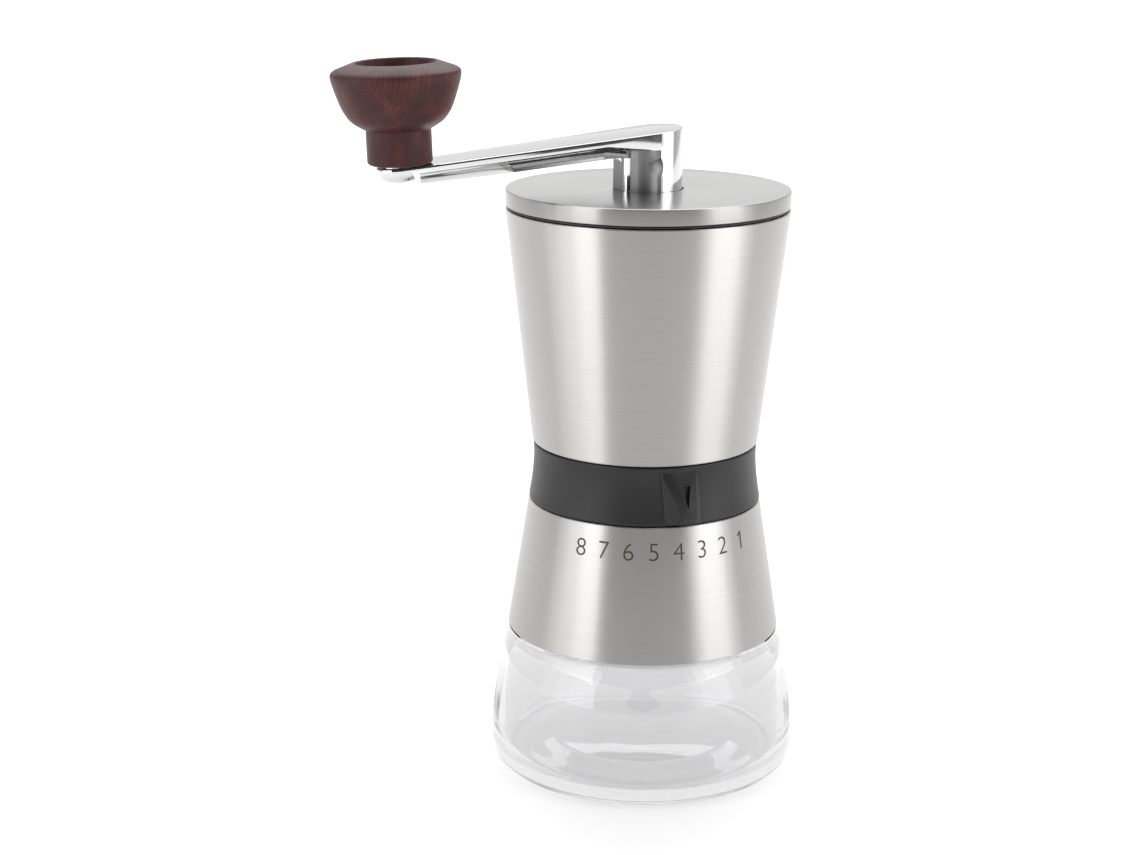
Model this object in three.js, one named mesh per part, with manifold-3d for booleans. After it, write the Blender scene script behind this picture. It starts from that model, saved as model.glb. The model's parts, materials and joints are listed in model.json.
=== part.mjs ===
// Hand crank coffee grinder with a glass jar, a conical burr set and a lift-off crank.
// Millimetres, +Z up. The origin is on the grinder's axis, at the centre of the jar's flat underside.
// Angles are in degrees, counted from +X towards +Y; the dial's numbers face -Y.
import * as THREE from 'three';
import { mergeVertices } from 'three/addons/utils/BufferGeometryUtils.js';
import Module from 'manifold-3d';

const wasm = await Module();
wasm.setup();

// ---- driving dimensions ----
const GAP = 0.3; // between neighbours that touch
const FINE = 40; // sides of the large turned parts
const COARSE = 16; // sides of the small turned parts
const BAR_STEP = 12; // degrees in each step of a bent bar

const JAR_FOOT_R = 42.5; // widest radius of the glass, near its foot
const JAR_SHOULDER_R = 37.9;
const JAR_SHOULDER_Z = 38.4;
const NECK_R = 31; // outside of the glass neck
const NECK_BORE_R = 28;
const JAR_RIM_Z = 53;
const JAR_FLOOR_Z = 7.2; // top of the raised disc in the jar's floor
const JAR_FLOOR_R = 25.3;

const THREAD_LEAD = 12; // climb in one turn
const THREAD_STARTS = 2;
const THREAD_R = 32.3; // crest of the glass thread
const THREAD_Z = 47.3; // middle of the glass thread
const THREAD_RIDGE = 2.2; // height of a ridge
const THREAD_SWEEP = 144;
const LUG_SWEEP = 36;
const LUG_R = 31.6; // how far in the skirt's lugs reach
const LUG_H = 2.2;

const COLLAR_BOTTOM = { r: 37.8, z: 39.6 };
const COLLAR_TOP = { r: 31.95, z: 76.2 };
const SKIN = 0.8; // steel sheet of the collar and of the hopper shell

const SKIRT_R = 33.8;
const SKIRT_BORE_R = 32.8;
const SKIRT_BOTTOM_Z = 41;
const SHELF_Z = 55.2;
const SHELF_T = 2.3;
const CORE_R = 28; // tube that carries the burrs
const CORE_BORE_R = 25.5;
const CORE_TOP_Z = 92.4;
const CORE_LIP_R = 23.5;
const CORE_LIP_Z = 88.4;
const LEDGE_R = 30.8; // ledge under the adjusting ring
const LEDGE_Z = 76.2;
const SLOT = { inner: 24.9, outer: 28.6, bottom: 80.9, top: 86.6, sweep: 21 }; // for a carrier lug

const RING_BOTTOM_Z = 76.5;
const RING_TOP_Z = 92.3;
const RING_BORE_R = 28.5;
const GRIP_ANGLE = -68.5; // the grip with the pointer, at rest
const GRIP_COUNT = 2;
const GRIP_H = 14.4;
const GROOVE_R = 29.9; // how far out the ring's inner grooves reach
const GROOVE_PLAY = 0.45; // above and below a carrier lug

const CARRIER_ANGLES = [90, 210, 330];
const CAM_LEAD = 6.585; // climb of the ring's inner grooves in one turn
const CAM_Z = 83.5; // middle of a groove, at its carrier lug
const CAM_LUG_H = 3.2;
const CAM_LUG_SWEEP = 16;
const CAM_SWEEP_BACK = 41; // groove before and after the lug, for the ring's whole turn
const CAM_SWEEP_ON = 63;

const BURR_BOTTOM_Z = 70;
const BURR_TOP_Z = 89.2;
const CONE_R = 17.5;
const CUP_R = 25.1; // the burr carrier's outside
const CUP_BORE_R = 19.9;
const CUP_BOTTOM_Z = 67.5;
const CUP_TOP_Z = 85.6;
const CAM_LUG_R = 29.5;
const RING_BURR_R = 21.3;
const CONE_TEETH = 9;
const RING_TEETH = 12;
const TEETH_DEPTH = 0.9;
const TEETH_TWIST = 2.4; // degrees for each millimetre of height

const SHAFT_R = 3.2;
const SHAFT_BORE_R = 3.5;
const SHAFT_BOTTOM_Z = 63.5;
const SHAFT_TOP_Z = 171;
const HEX_Z = 150;
const CLIP_Z = 142.5;
const BUSH_LENGTH = 7.8;
const FLANGE_R = 6.2; // bush flanges, thrust washer and spring
const SPRING_Z = 90.55;
const SPRING_WAVE = 0.6;
const SPRING_WAVES = 3;
const NUT_R = 6.4;

const SPIDER_RING_Z = 92.8;
const SPIDER_TOP_Z = 97;
const COLUMN_R = 6.5;
const COLUMN_BORE_R = 5.3;
const COLUMN_BOTTOM_Z = 93.8;
const COLUMN_TOP_Z = 141;
const ARM_COUNT = 3;
const ARM_LENGTH = 18.6;
const ARM_WIDTH = 4;
const ARM_MIDDLE_R = 15.8;
const SPIDER_BORE_R = 24.5;

const SCREW_CIRCLE_R = 25.9;
const SCREW_ANGLES = [60, 180, 300];
const SCREW_R = 1.15;
const SCREW_HOLE_R = 1.5;
const SCREW_END_Z = 88.9;
const SCREW_SEAT_Z = 99.1; // underside of a screw's head

const SHELL_BOTTOM = { r: 31.02, z: 92.6 };
const SHELL_TOP = { r: 38.43, z: 156.7 };
const LINER_FLOOR_Z = 97.3;
const LINER_T = 1.5; // its floor
const LINER_WALL = 1.2;
const LINER_BORE_R = 22.6;

const LID_R = 38.42;
const LID_BOTTOM_Z = 157.7;
const LID_TOP_Z = 162;
const LID_HOLE_R = 9.55;
const LID_T = 1.2; // steel of the lid
const INSERT_BOTTOM_Z = 151;
const INSERT_TOP_Z = 160.5;
const PLUG_R = 35.2; // the insert's lip inside the hopper

const HUB_R = 9.1;
const HUB_BOTTOM_Z = 152;
const HUB_TOP_Z = 177.6; // of the sloping top, on the axis
const CRANK_ANGLE = 204; // direction of the arm at rest
const CRANK_LENGTH = 69.5; // hub axis to knob axis
const CRANK_TIP_R = 6.2;
const CRANK_SLOPE = 5.3; // the arm falls towards its tip
const CRANK_DEPTH = 5.5;
const CRANK_DEEP_END = 66.4; // past here only the thin plate and the bowl of the tip go on
const TIP_PLATE = 0.8;
const CRANK_BAND = 1.4; // plain edge above the coves
const COVE_R = 5.2;
const COVE_BITE = 3.6;
const COVE_START = 5.6;
const COVE_END = 66.8;
const SCOOP_R = 5.3; // upright hollow in each side of the hub, where the cove turns down
const RIB_HALF = 4.87; // half the width of the hub's rib between the scoops
const SCOOP_DROP = 4.5; // scoop's ceiling below the top
const SOCKET_R = 3.6;

const KNOB_TILT = 2.2; // the knob leans outwards
const KNOB_RISE = 0.5; // knob's underside above the arm
const PIN_R = 2.4;
const WASHER_R = 4.6; // washer between the knob and the arm, let into the arm
const KNOB_SIDES = 28;
const SLEEVE_R = 3.7;
const SLEEVE_BORE_R = 2.75;
const PIN_BOTTOM_Z = -3.8; // counted from the knob's underside, as the four heights below
const SEAT_Z = -1.4;
const WASHER_BOTTOM_Z = -1.1;
const SLEEVE_TOP_Z = 17.7;
const PIN_HEAD_Z = 18.1;

// ---- shaping helpers ----
const radians = THREE.MathUtils.degToRad;

// Turns [radius, height] points about Z. The points run outwards below and inwards above.
function turned(points, sides = FINE) {
  const profile = points.map(([r, z]) => new THREE.Vector2(r, z));
  return new THREE.LatheGeometry(profile, sides).rotateX(Math.PI / 2);
}

// Turns a profile that closes on itself, for a piece with a bore.
function hollow(points, sides = FINE) {
  return turned([...points, points[0]], sides);
}

// A plain ring with square edges.
function washer(bore, radius, bottom, top, sides = COARSE) {
  return hollow([[bore, bottom], [radius, bottom], [radius, top], [bore, top]], sides);
}

// A vertical prism or cylinder between two heights.
function post(radius, bottom, top, sides = COARSE) {
  const rod = new THREE.CylinderGeometry(radius, radius, top - bottom, sides);
  return rod.rotateX(Math.PI / 2).translate(0, 0, (bottom + top) / 2);
}

// Moves a geometry out from the axis, to a radius and an angle.
function placed(geometry, radius, angle) {
  return geometry.translate(radius, 0, 0).rotateZ(radians(angle));
}

// A bar bent about Z that climbs by a lead in each turn, centred on an angle.
function bentBar(inner, outer, bottom, top, middle, sweep, lead = 0) {
  const steps = Math.ceil(sweep / BAR_STEP);
  const bar = new THREE.BoxGeometry(outer - inner, sweep, top - bottom, 1, steps, 1);
  const corners = bar.attributes.position;
  for (let i = 0; i < corners.count; i += 1) {
    const radius = corners.getX(i) + (inner + outer) / 2;
    const turn = corners.getY(i);
    const height = corners.getZ(i) + (bottom + top) / 2 + (lead * turn) / 360;
    const angle = radians(middle + turn);
    corners.setXYZ(i, radius * Math.cos(angle), radius * Math.sin(angle), height);
  }
  return bar;
}

// Makes a closed geometry a solid: corners are shared and collapsed triangles dropped.
function solid(geometry) {
  const bare = geometry.clone();
  bare.deleteAttribute('normal');
  bare.deleteAttribute('uv');
  const shared = mergeVertices(bare);
  const corners = shared.index.array;
  const kept = [];
  for (let i = 0; i < corners.length; i += 3) {
    const [a, b, c] = [corners[i], corners[i + 1], corners[i + 2]];
    if (a !== b && b !== c && c !== a) kept.push(a, b, c);
  }
  const vertProperties = new Float32Array(shared.attributes.position.array);
  return new wasm.Manifold(new wasm.Mesh({ numProp: 3, vertProperties, triVerts: new Uint32Array(kept) }));
}

function surface(body) {
  const mesh = body.getMesh();
  const geometry = new THREE.BufferGeometry();
  geometry.setAttribute('position', new THREE.BufferAttribute(mesh.vertProperties, 3));
  geometry.setIndex(new THREE.BufferAttribute(mesh.triVerts, 1));
  return geometry;
}

function joined(geometry, others) {
  return surface(others.reduce((body, other) => body.add(solid(other)), solid(geometry)));
}

function cut(geometry, tools) {
  return surface(tools.reduce((body, tool) => body.subtract(solid(tool)), solid(geometry)));
}

// Carves sloping teeth into a turned burr: depth(radius, height) says how deep they go there.
function toothed(geometry, teeth, depth) {
  const corners = geometry.attributes.position;
  for (let i = 0; i < corners.count; i += 1) {
    const [x, y, z] = [corners.getX(i), corners.getY(i), corners.getZ(i)];
    const radius = Math.hypot(x, y);
    const turn = Math.atan2(y, x) + radians(TEETH_TWIST) * (z - BURR_BOTTOM_Z);
    const carved = radius + (depth(radius, z) * (1 + Math.cos(teeth * turn))) / 2;
    corners.setXY(i, (x * carved) / radius, (y * carved) / radius);
  }
  return geometry;
}

// ---- materials ----
function finish(color, roughness, metalness) {
  return new THREE.MeshStandardMaterial({ color, roughness, metalness });
}

function clearGlass() {
  const glass = finish(0xf4f8f8, 0.05, 0);
  glass.transparent = true;
  glass.opacity = 0.3;
  return glass;
}

const STEEL = () => finish(0xc9c7c4, 0.35, 1);
const CHROME = () => finish(0xe6e6e8, 0.08, 1);
const DARK_STEEL = () => finish(0x8d8d90, 0.4, 1);
const BLACK_PLASTIC = () => finish(0x2b2b2c, 0.5, 0);
const CERAMIC = () => finish(0xe9e4d8, 0.6, 0);
const BRONZE = () => finish(0xa9814a, 0.4, 1);
const SILICONE = () => finish(0xd8d8d4, 0.6, 0);
const WOOD = () => finish(0x4f2620, 0.45, 0);

const grinder = new THREE.Group();

function add(name, geometry, material, parent = grinder) {
  const mesh = new THREE.Mesh(geometry, material);
  mesh.name = name;
  parent.add(mesh);
}

// ---- jar ----
function glassJar() {
  const body = turned([
    [0, 0], [37.6, 0], [40.2, 0.8], [41.9, 2.8], [JAR_FOOT_R, 6.2], [42.4, 10], [41.9, 16.5],
    [40.9, 23.5], [39.5, 31], [38.5, 36.4], [JAR_SHOULDER_R, 37.8], [37.1, JAR_SHOULDER_Z],
    [33, 39.1], [NECK_R, 39.9], [NECK_R, JAR_RIM_Z - 0.7], [NECK_R - 0.7, JAR_RIM_Z],
    [NECK_BORE_R + 0.7, JAR_RIM_Z], [NECK_BORE_R, JAR_RIM_Z - 0.7], [NECK_BORE_R, 42],
    [33.6, 36.8], [36.4, 30], [38.3, 20], [39, 12], [38.9, 8], [38, 5.2], [36, 4.2], [33, 4.3], [29, 5.7],
    [JAR_FLOOR_R + 0.5, JAR_FLOOR_Z - 0.5], [JAR_FLOOR_R, JAR_FLOOR_Z], [0, JAR_FLOOR_Z + 0.2],
  ]);
  const ridges = [];
  for (let start = 0; start < THREAD_STARTS; start += 1) {
    ridges.push(bentBar(NECK_R - 0.6, THREAD_R, THREAD_Z - THREAD_RIDGE / 2, THREAD_Z + THREAD_RIDGE / 2,
      (360 / THREAD_STARTS) * start, THREAD_SWEEP, THREAD_LEAD));
  }
  return joined(body, ridges);
}

// ---- frame and collar ----
// Radius of the steel collar's outside at a height.
function collarRadius(z) {
  const share = (z - COLLAR_BOTTOM.z) / (COLLAR_TOP.z - COLLAR_BOTTOM.z);
  return COLLAR_BOTTOM.r + share * (COLLAR_TOP.r - COLLAR_BOTTOM.r);
}

function dialCollar() {
  const [low, high] = [COLLAR_BOTTOM.z, COLLAR_TOP.z];
  return hollow([
    [collarRadius(low) - SKIN, low], [collarRadius(low), low],
    [collarRadius(high), high], [collarRadius(high) - SKIN, high],
  ]);
}

// Lugs inside the skirt that catch under the jar's thread.
function threadLugs() {
  const middle = THREAD_Z - THREAD_LEAD / THREAD_STARTS / 2;
  const lugs = [];
  for (let start = 0; start < THREAD_STARTS; start += 1) {
    lugs.push(bentBar(LUG_R, SKIRT_BORE_R + 0.5, middle - LUG_H / 2, middle + LUG_H / 2,
      (360 / THREAD_STARTS) * start, LUG_SWEEP, THREAD_LEAD));
  }
  return lugs;
}

function screwHoles(bottom, top) {
  return SCREW_ANGLES.map((angle) => placed(post(SCREW_HOLE_R, bottom, top, 12), SCREW_CIRCLE_R, angle));
}

function grinderFrame() {
  const body = hollow([
    [SKIRT_BORE_R, SKIRT_BOTTOM_Z], [SKIRT_R, SKIRT_BOTTOM_Z], [SKIRT_R, SHELF_Z + SHELF_T - 0.6],
    [CORE_R, SHELF_Z + SHELF_T + 0.4], [CORE_R, LEDGE_Z - 3], [LEDGE_R, LEDGE_Z - 1.8],
    [LEDGE_R, LEDGE_Z], [CORE_R, LEDGE_Z], [CORE_R, CORE_TOP_Z], [CORE_LIP_R, CORE_TOP_Z],
    [CORE_LIP_R, CORE_LIP_Z], [CORE_BORE_R, CORE_LIP_Z - 1.2], [CORE_BORE_R, SHELF_Z],
    [SKIRT_BORE_R, SHELF_Z],
  ]);
  const slots = CARRIER_ANGLES.map((angle) => (
    bentBar(SLOT.inner, SLOT.outer, SLOT.bottom, SLOT.top, angle, SLOT.sweep)));
  return cut(joined(body, threadLugs()), [...slots, ...screwHoles(CORE_LIP_Z - 3, CORE_TOP_Z + 1)]);
}

// ---- adjusting ring ----
// One raised grip: a slanted facet on its left, a plain front and a short right side.
function grip(angle) {
  const outline = [
    [29.8, -14], [31.4, -12.5], [33.6, -3.5], [33.8, 0], [33.7, 3.5], [33.1, 5], [29.8, 5.6],
  ].map(([r, turn]) => new THREE.Vector2(r * Math.cos(radians(turn)), r * Math.sin(radians(turn))));
  const block = new THREE.ExtrudeGeometry(new THREE.Shape(outline), {
    depth: GRIP_H, bevelEnabled: false,
  });
  return block.translate(0, 0, RING_BOTTOM_Z + 0.3).rotateZ(radians(angle));
}

function adjustRing() {
  const band = hollow([
    [RING_BORE_R, RING_BOTTOM_Z], [31.6, RING_BOTTOM_Z], [31.9, RING_BOTTOM_Z + 0.6], [31.3, 80.5],
    [30.75, 85], [30.6, 88.5], [30.75, RING_TOP_Z - 0.5], [30.4, RING_TOP_Z], [RING_BORE_R, RING_TOP_Z],
  ]);
  const grips = [];
  for (let i = 0; i < GRIP_COUNT; i += 1) grips.push(grip(GRIP_ANGLE + (360 / GRIP_COUNT) * i));
  const sweep = CAM_SWEEP_BACK + CAM_SWEEP_ON;
  const shift = (CAM_SWEEP_ON - CAM_SWEEP_BACK) / 2;
  const middle = CAM_Z + (CAM_LEAD * shift) / 360;
  const half = CAM_LUG_H / 2 + GROOVE_PLAY;
  const grooves = CARRIER_ANGLES.map((angle) => (
    bentBar(RING_BORE_R - 0.5, GROOVE_R, middle - half, middle + half, angle + shift, sweep, CAM_LEAD)));
  return cut(joined(band, grips), grooves);
}

// ---- burrs ----
function burrCarrier() {
  const cup = hollow([
    [CUP_BORE_R, CUP_BOTTOM_Z], [CUP_R - 0.7, CUP_BOTTOM_Z], [CUP_R, CUP_BOTTOM_Z + 0.7], [CUP_R, CUP_TOP_Z],
    [RING_BURR_R + 0.4, CUP_TOP_Z], [RING_BURR_R + 0.4, CUP_BOTTOM_Z + 1.5], [CUP_BORE_R, CUP_BOTTOM_Z + 1.5],
  ]);
  const lugs = CARRIER_ANGLES.map((angle) => (
    bentBar(CUP_R - 0.7, CAM_LUG_R, CAM_Z - CAM_LUG_H / 2, CAM_Z + CAM_LUG_H / 2, angle, CAM_LUG_SWEEP,
      CAM_LEAD)));
  return joined(cup, lugs);
}

function ringBurr() {
  const body = hollow([
    [18.35, 69.3], [RING_BURR_R, 69.3], [RING_BURR_R, 85.5], [16.4, 85.5], [15.4, 83.5], [14.3, 80],
    [16.2, 75.5], [17.6, 72],
  ], RING_TEETH * 4);
  return toothed(body, RING_TEETH, (radius) => (radius < 18 ? TEETH_DEPTH : 0));
}

function coneBurr() {
  const body = hollow([
    [SHAFT_BORE_R, BURR_BOTTOM_Z], [16.9, BURR_BOTTOM_Z], [CONE_R, BURR_BOTTOM_Z + 0.6], [15.2, 74.6],
    [12.6, 79.4], [10.1, 84], [8, 88], [6.8, BURR_TOP_Z], [SHAFT_BORE_R, BURR_TOP_Z],
  ], CONE_TEETH * 5);
  return toothed(body, CONE_TEETH, (radius, z) => (radius > 7 && z > BURR_BOTTOM_Z + 1 ? -TEETH_DEPTH : 0));
}

// ---- shaft and bearings ----
function driveShaft() {
  const body = turned([
    [0, SHAFT_BOTTOM_Z], [2.7, SHAFT_BOTTOM_Z], [SHAFT_R, SHAFT_BOTTOM_Z + 0.5], [SHAFT_R, CLIP_Z - 0.2],
    [2.6, CLIP_Z - 0.2], [2.6, CLIP_Z + 1], [SHAFT_R, CLIP_Z + 1], [SHAFT_R, HEX_Z + 1], [0, HEX_Z + 1],
  ], COARSE);
  return joined(body, [post(SHAFT_R, HEX_Z, SHAFT_TOP_Z, 6).rotateZ(radians(CRANK_ANGLE))]);
}

function burrNut() {
  return cut(post(NUT_R, 65.2, 68.7, 6), [post(SHAFT_BORE_R, 64, 70)]);
}

// A spring washer bent into waves.
function waveSpring() {
  const ring = washer(SHAFT_BORE_R, FLANGE_R, SPRING_Z - 0.2, SPRING_Z + 0.2, 24);
  const corners = ring.attributes.position;
  for (let i = 0; i < corners.count; i += 1) {
    const turn = Math.atan2(corners.getY(i), corners.getX(i));
    corners.setZ(i, corners.getZ(i) + SPRING_WAVE * Math.cos(SPRING_WAVES * turn));
  }
  return ring;
}

// A flanged bush, standing on its flange at a height or hanging from it.
function bush(flangeZ, hangs = false) {
  const sleeve = hollow([
    [SHAFT_BORE_R, 0], [FLANGE_R, 0], [FLANGE_R, 0.8], [5, 0.8], [5, BUSH_LENGTH],
    [SHAFT_BORE_R, BUSH_LENGTH],
  ], COARSE);
  return sleeve.rotateX(hangs ? Math.PI : 0).translate(0, 0, flangeZ);
}

function bearingSpider() {
  const ring = hollow([
    [SPIDER_BORE_R, SPIDER_RING_Z], [28.6, SPIDER_RING_Z], [28.6, 93.75], [30, 93.75], [30, SPIDER_TOP_Z],
    [SPIDER_BORE_R, SPIDER_TOP_Z],
  ]);
  const column = hollow([
    [COLUMN_BORE_R, COLUMN_BOTTOM_Z], [COLUMN_R + 1, COLUMN_BOTTOM_Z], [COLUMN_R + 1, 98], [COLUMN_R, 100],
    [COLUMN_R, COLUMN_TOP_Z], [COLUMN_BORE_R, COLUMN_TOP_Z],
  ], COARSE);
  const arms = [];
  for (let i = 0; i < ARM_COUNT; i += 1) {
    const arm = new THREE.BoxGeometry(ARM_LENGTH, ARM_WIDTH, SPIDER_TOP_Z - COLUMN_BOTTOM_Z);
    const middle = (SPIDER_TOP_Z + COLUMN_BOTTOM_Z) / 2;
    arms.push(placed(arm.translate(0, 0, middle), ARM_MIDDLE_R, (360 / ARM_COUNT) * i));
  }
  return cut(joined(column, [ring, ...arms]), screwHoles(92, 98));
}

function frameScrew(angle) {
  const body = turned([
    [0, SCREW_END_Z], [SCREW_R - 0.3, SCREW_END_Z], [SCREW_R, SCREW_END_Z + 0.5], [SCREW_R, SCREW_SEAT_Z],
    [2.3, SCREW_SEAT_Z], [2.3, SCREW_SEAT_Z + 1.1], [1.8, SCREW_SEAT_Z + 1.6], [0, SCREW_SEAT_Z + 1.6],
  ], 12);
  return placed(body, SCREW_CIRCLE_R, angle);
}

// ---- hopper ----
// Radius of the hopper shell's outside at a height.
function shellRadius(z) {
  const share = (z - SHELL_BOTTOM.z) / (SHELL_TOP.z - SHELL_BOTTOM.z);
  return SHELL_BOTTOM.r + share * (SHELL_TOP.r - SHELL_BOTTOM.r);
}

function hopperShell() {
  const [low, high] = [SHELL_BOTTOM.z, SHELL_TOP.z];
  return hollow([
    [28.9, low], [30.3, low], [shellRadius(low + 0.6), low + 0.6], [shellRadius(high), high],
    [shellRadius(high) - SKIN, high], [shellRadius(low) - SKIN, low + SKIN], [28.9, low + SKIN],
  ]);
}

function hopperLiner() {
  const outside = (z) => shellRadius(z) - SKIN - GAP;
  const top = SHELL_TOP.z - 0.4;
  const body = hollow([
    [LINER_BORE_R, LINER_FLOOR_Z], [outside(LINER_FLOOR_Z), LINER_FLOOR_Z], [outside(top), top],
    [outside(top) - LINER_WALL, top], [outside(106) - LINER_WALL, 106], [28.6, LINER_FLOOR_Z + LINER_T],
    [LINER_BORE_R, LINER_FLOOR_Z + LINER_T],
  ]);
  return cut(body, screwHoles(LINER_FLOOR_Z - 1, LINER_FLOOR_Z + 2));
}

// ---- lid ----
function lidCover() {
  return hollow([
    [LID_HOLE_R, LID_TOP_Z - LID_T], [LID_R - LID_T, LID_TOP_Z - LID_T], [LID_R - LID_T, LID_BOTTOM_Z],
    [LID_R, LID_BOTTOM_Z], [LID_R, LID_TOP_Z - 0.7], [LID_R - 0.7, LID_TOP_Z], [LID_HOLE_R, LID_TOP_Z],
  ]);
}

function lidInsert() {
  return hollow([
    [LID_HOLE_R, INSERT_BOTTOM_Z], [11, INSERT_BOTTOM_Z], [11, INSERT_TOP_Z - 2], [33.8, INSERT_TOP_Z - 2],
    [33.8, 150.2], [PLUG_R, 150.2], [PLUG_R + 0.3, 157], [37.9, 157], [37.9, 157.4], [36.8, 157.4],
    [36.8, INSERT_TOP_Z], [LID_HOLE_R, INSERT_TOP_Z],
  ]);
}

// ---- crank ----
const TAPER = (HUB_R - CRANK_TIP_R) / CRANK_LENGTH;

// Outline of the arm from above: the hub's circle and the tip's circle with their two tangents.
function armOutline() {
  const outline = new THREE.Shape();
  outline.absarc(0, 0, HUB_R, Math.acos(TAPER), 2 * Math.PI - Math.acos(TAPER));
  outline.absarc(CRANK_LENGTH, 0, CRANK_TIP_R, -Math.acos(TAPER), Math.acos(TAPER));
  return outline;
}

// The same outline, cut square before the tip.
function deepOutline() {
  const half = HUB_R - CRANK_DEEP_END * TAPER;
  const outline = new THREE.Shape();
  outline.absarc(0, 0, HUB_R, Math.acos(TAPER), 2 * Math.PI - Math.acos(TAPER));
  outline.lineTo(CRANK_DEEP_END, -half);
  outline.lineTo(CRANK_DEEP_END, half);
  return outline;
}

// Tips a geometry made level at height 0 down to the arm's sloping top.
function sloped(geometry) {
  return geometry.rotateY(radians(CRANK_SLOPE)).translate(0, 0, HUB_TOP_Z);
}

// A plate of the arm, from its top down to a depth.
function plate(outline, depth) {
  const slab = new THREE.ExtrudeGeometry(outline, { depth, bevelEnabled: false, curveSegments: 12 });
  return sloped(slab.translate(0, 0, -depth));
}

// The rounded underside of the tip.
function tipBowl() {
  return sloped(turned([
    [0, -4.4], [2.3, -4.3], [4.5, -3.5], [5.7, -2.2], [6.1, -0.9], [6.1, -0.4], [0, -0.4],
  ], COARSE + 8).translate(CRANK_LENGTH, 0, 0));
}

// The round hollow that runs along one side of the arm, under its plain edge.
function cove(side) {
  const length = COVE_END - COVE_START;
  const rod = new THREE.CylinderGeometry(COVE_R, COVE_R, length, COARSE);
  rod.rotateZ(Math.PI / 2).translate(length / 2, 0, 0).rotateZ(-side * Math.asin(TAPER));
  const offset = HUB_R + COVE_R - COVE_BITE - COVE_START * TAPER;
  return sloped(rod.translate(COVE_START, side * offset, -CRANK_BAND - COVE_R));
}

function scoop(side) {
  const hollowOut = post(SCOOP_R, HUB_BOTTOM_Z - 1, HUB_TOP_Z - SCOOP_DROP, COARSE + 8);
  return hollowOut.translate(COVE_START, side * (RIB_HALF + SCOOP_R), 0);
}

// Trims the front of the hub's rib to its width, below the arm.
function ribSide(side) {
  const top = HUB_TOP_Z - CRANK_DEPTH - 1.3;
  const block = new THREE.BoxGeometry(8, 8, top - HUB_BOTTOM_Z + 1);
  return block.translate(COVE_START + 3.9, side * (RIB_HALF + 4), (top + HUB_BOTTOM_Z - 1) / 2);
}

function crankArm() {
  const sky = new THREE.BoxGeometry(60, 60, 20).translate(0, 0, 10);
  const hub = cut(post(HUB_R, HUB_BOTTOM_Z, HUB_TOP_Z + 5, FINE), [sloped(sky)]);
  const body = joined(hub, [plate(armOutline(), TIP_PLATE), plate(deepOutline(), CRANK_DEPTH), tipBowl()]);
  const socket = post(SOCKET_R, HUB_BOTTOM_Z - 1, SHAFT_TOP_Z + GAP, 6);
  const pinHole = knobLean(post(PIN_R + 0.4, -6, 4, COARSE));
  const washerSeat = knobLean(post(WASHER_R + GAP, SEAT_Z, 3, COARSE));
  const sides = [1, -1].flatMap((side) => [cove(side), scoop(side), ribSide(side)]);
  return cut(body, [...sides, socket, pinHole, washerSeat]);
}

// Moves a piece made on the Z axis, with height 0 at the knob's underside, to its leaning place.
function knobLean(geometry) {
  const armTop = HUB_TOP_Z - CRANK_LENGTH * Math.tan(radians(CRANK_SLOPE));
  return geometry.rotateY(radians(KNOB_TILT)).translate(CRANK_LENGTH, 0, armTop + KNOB_RISE);
}

function knobPin() {
  return knobLean(turned([
    [0, PIN_BOTTOM_Z], [PIN_R, PIN_BOTTOM_Z], [PIN_R, PIN_HEAD_Z], [4.5, PIN_HEAD_Z], [4.5, PIN_HEAD_Z + 1.2],
    [3.8, PIN_HEAD_Z + 1.8], [0, PIN_HEAD_Z + 1.8],
  ], COARSE));
}

function knob() {
  return knobLean(hollow([
    [4, 0], [7.7, 0], [8.7, 1], [8.7, 9.9], [9.3, 10.3], [12.6, 13.2], [13.65, 14.8], [15.05, 17.9],
    [16.4, 22.3], [16.7, 23.6], [16.3, 24.8], [11, 26.3], [10.4, 26.2], [8.9, 22.6], [7.2, 20.6],
    [5, 20], [5, SLEEVE_TOP_Z], [4, SLEEVE_TOP_Z],
  ], KNOB_SIDES));
}

// ---- assembly ----
add('glass_jar', glassJar(), clearGlass());
add('jar_gasket', washer(28.4, 30.8, JAR_RIM_Z + GAP, SHELF_Z - GAP, FINE), SILICONE());

add('grinder_frame', grinderFrame(), BLACK_PLASTIC());
add('dial_collar', dialCollar(), STEEL());
add('adjust_ring', adjustRing(), BLACK_PLASTIC());

add('burr_carrier', burrCarrier(), BLACK_PLASTIC());
add('ring_burr', ringBurr(), CERAMIC());
add('burr_clamp_ring', washer(17.6, 23.2, 85.9, 86.9, FINE), DARK_STEEL());
add('cone_burr', coneBurr(), CERAMIC());
add('burr_washer', washer(SHAFT_BORE_R, 7, 69, 69.7), STEEL());
add('burr_nut', burrNut(), STEEL());

add('drive_shaft', driveShaft(), STEEL());
add('wave_spring', waveSpring(), DARK_STEEL());
add('thrust_washer', washer(SHAFT_BORE_R, FLANGE_R, 91.7, 92.4), BRONZE());
add('lower_bush', bush(92.7), BRONZE());
add('upper_bush', bush(COLUMN_TOP_Z + GAP + 0.8, true), BRONZE());
add('shaft_clip', bentBar(2.9, 5, CLIP_Z, CLIP_Z + 0.8, 0, 288), DARK_STEEL());
add('bearing_spider', bearingSpider(), BLACK_PLASTIC());
SCREW_ANGLES.forEach((angle, i) => add(`frame_screw_${i + 1}`, frameScrew(angle), STEEL()));

add('hopper_liner', hopperLiner(), BLACK_PLASTIC());
add('hopper_shell', hopperShell(), STEEL());
add('lid_insert', lidInsert(), BLACK_PLASTIC());
add('lid_cover', lidCover(), STEEL());

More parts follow.
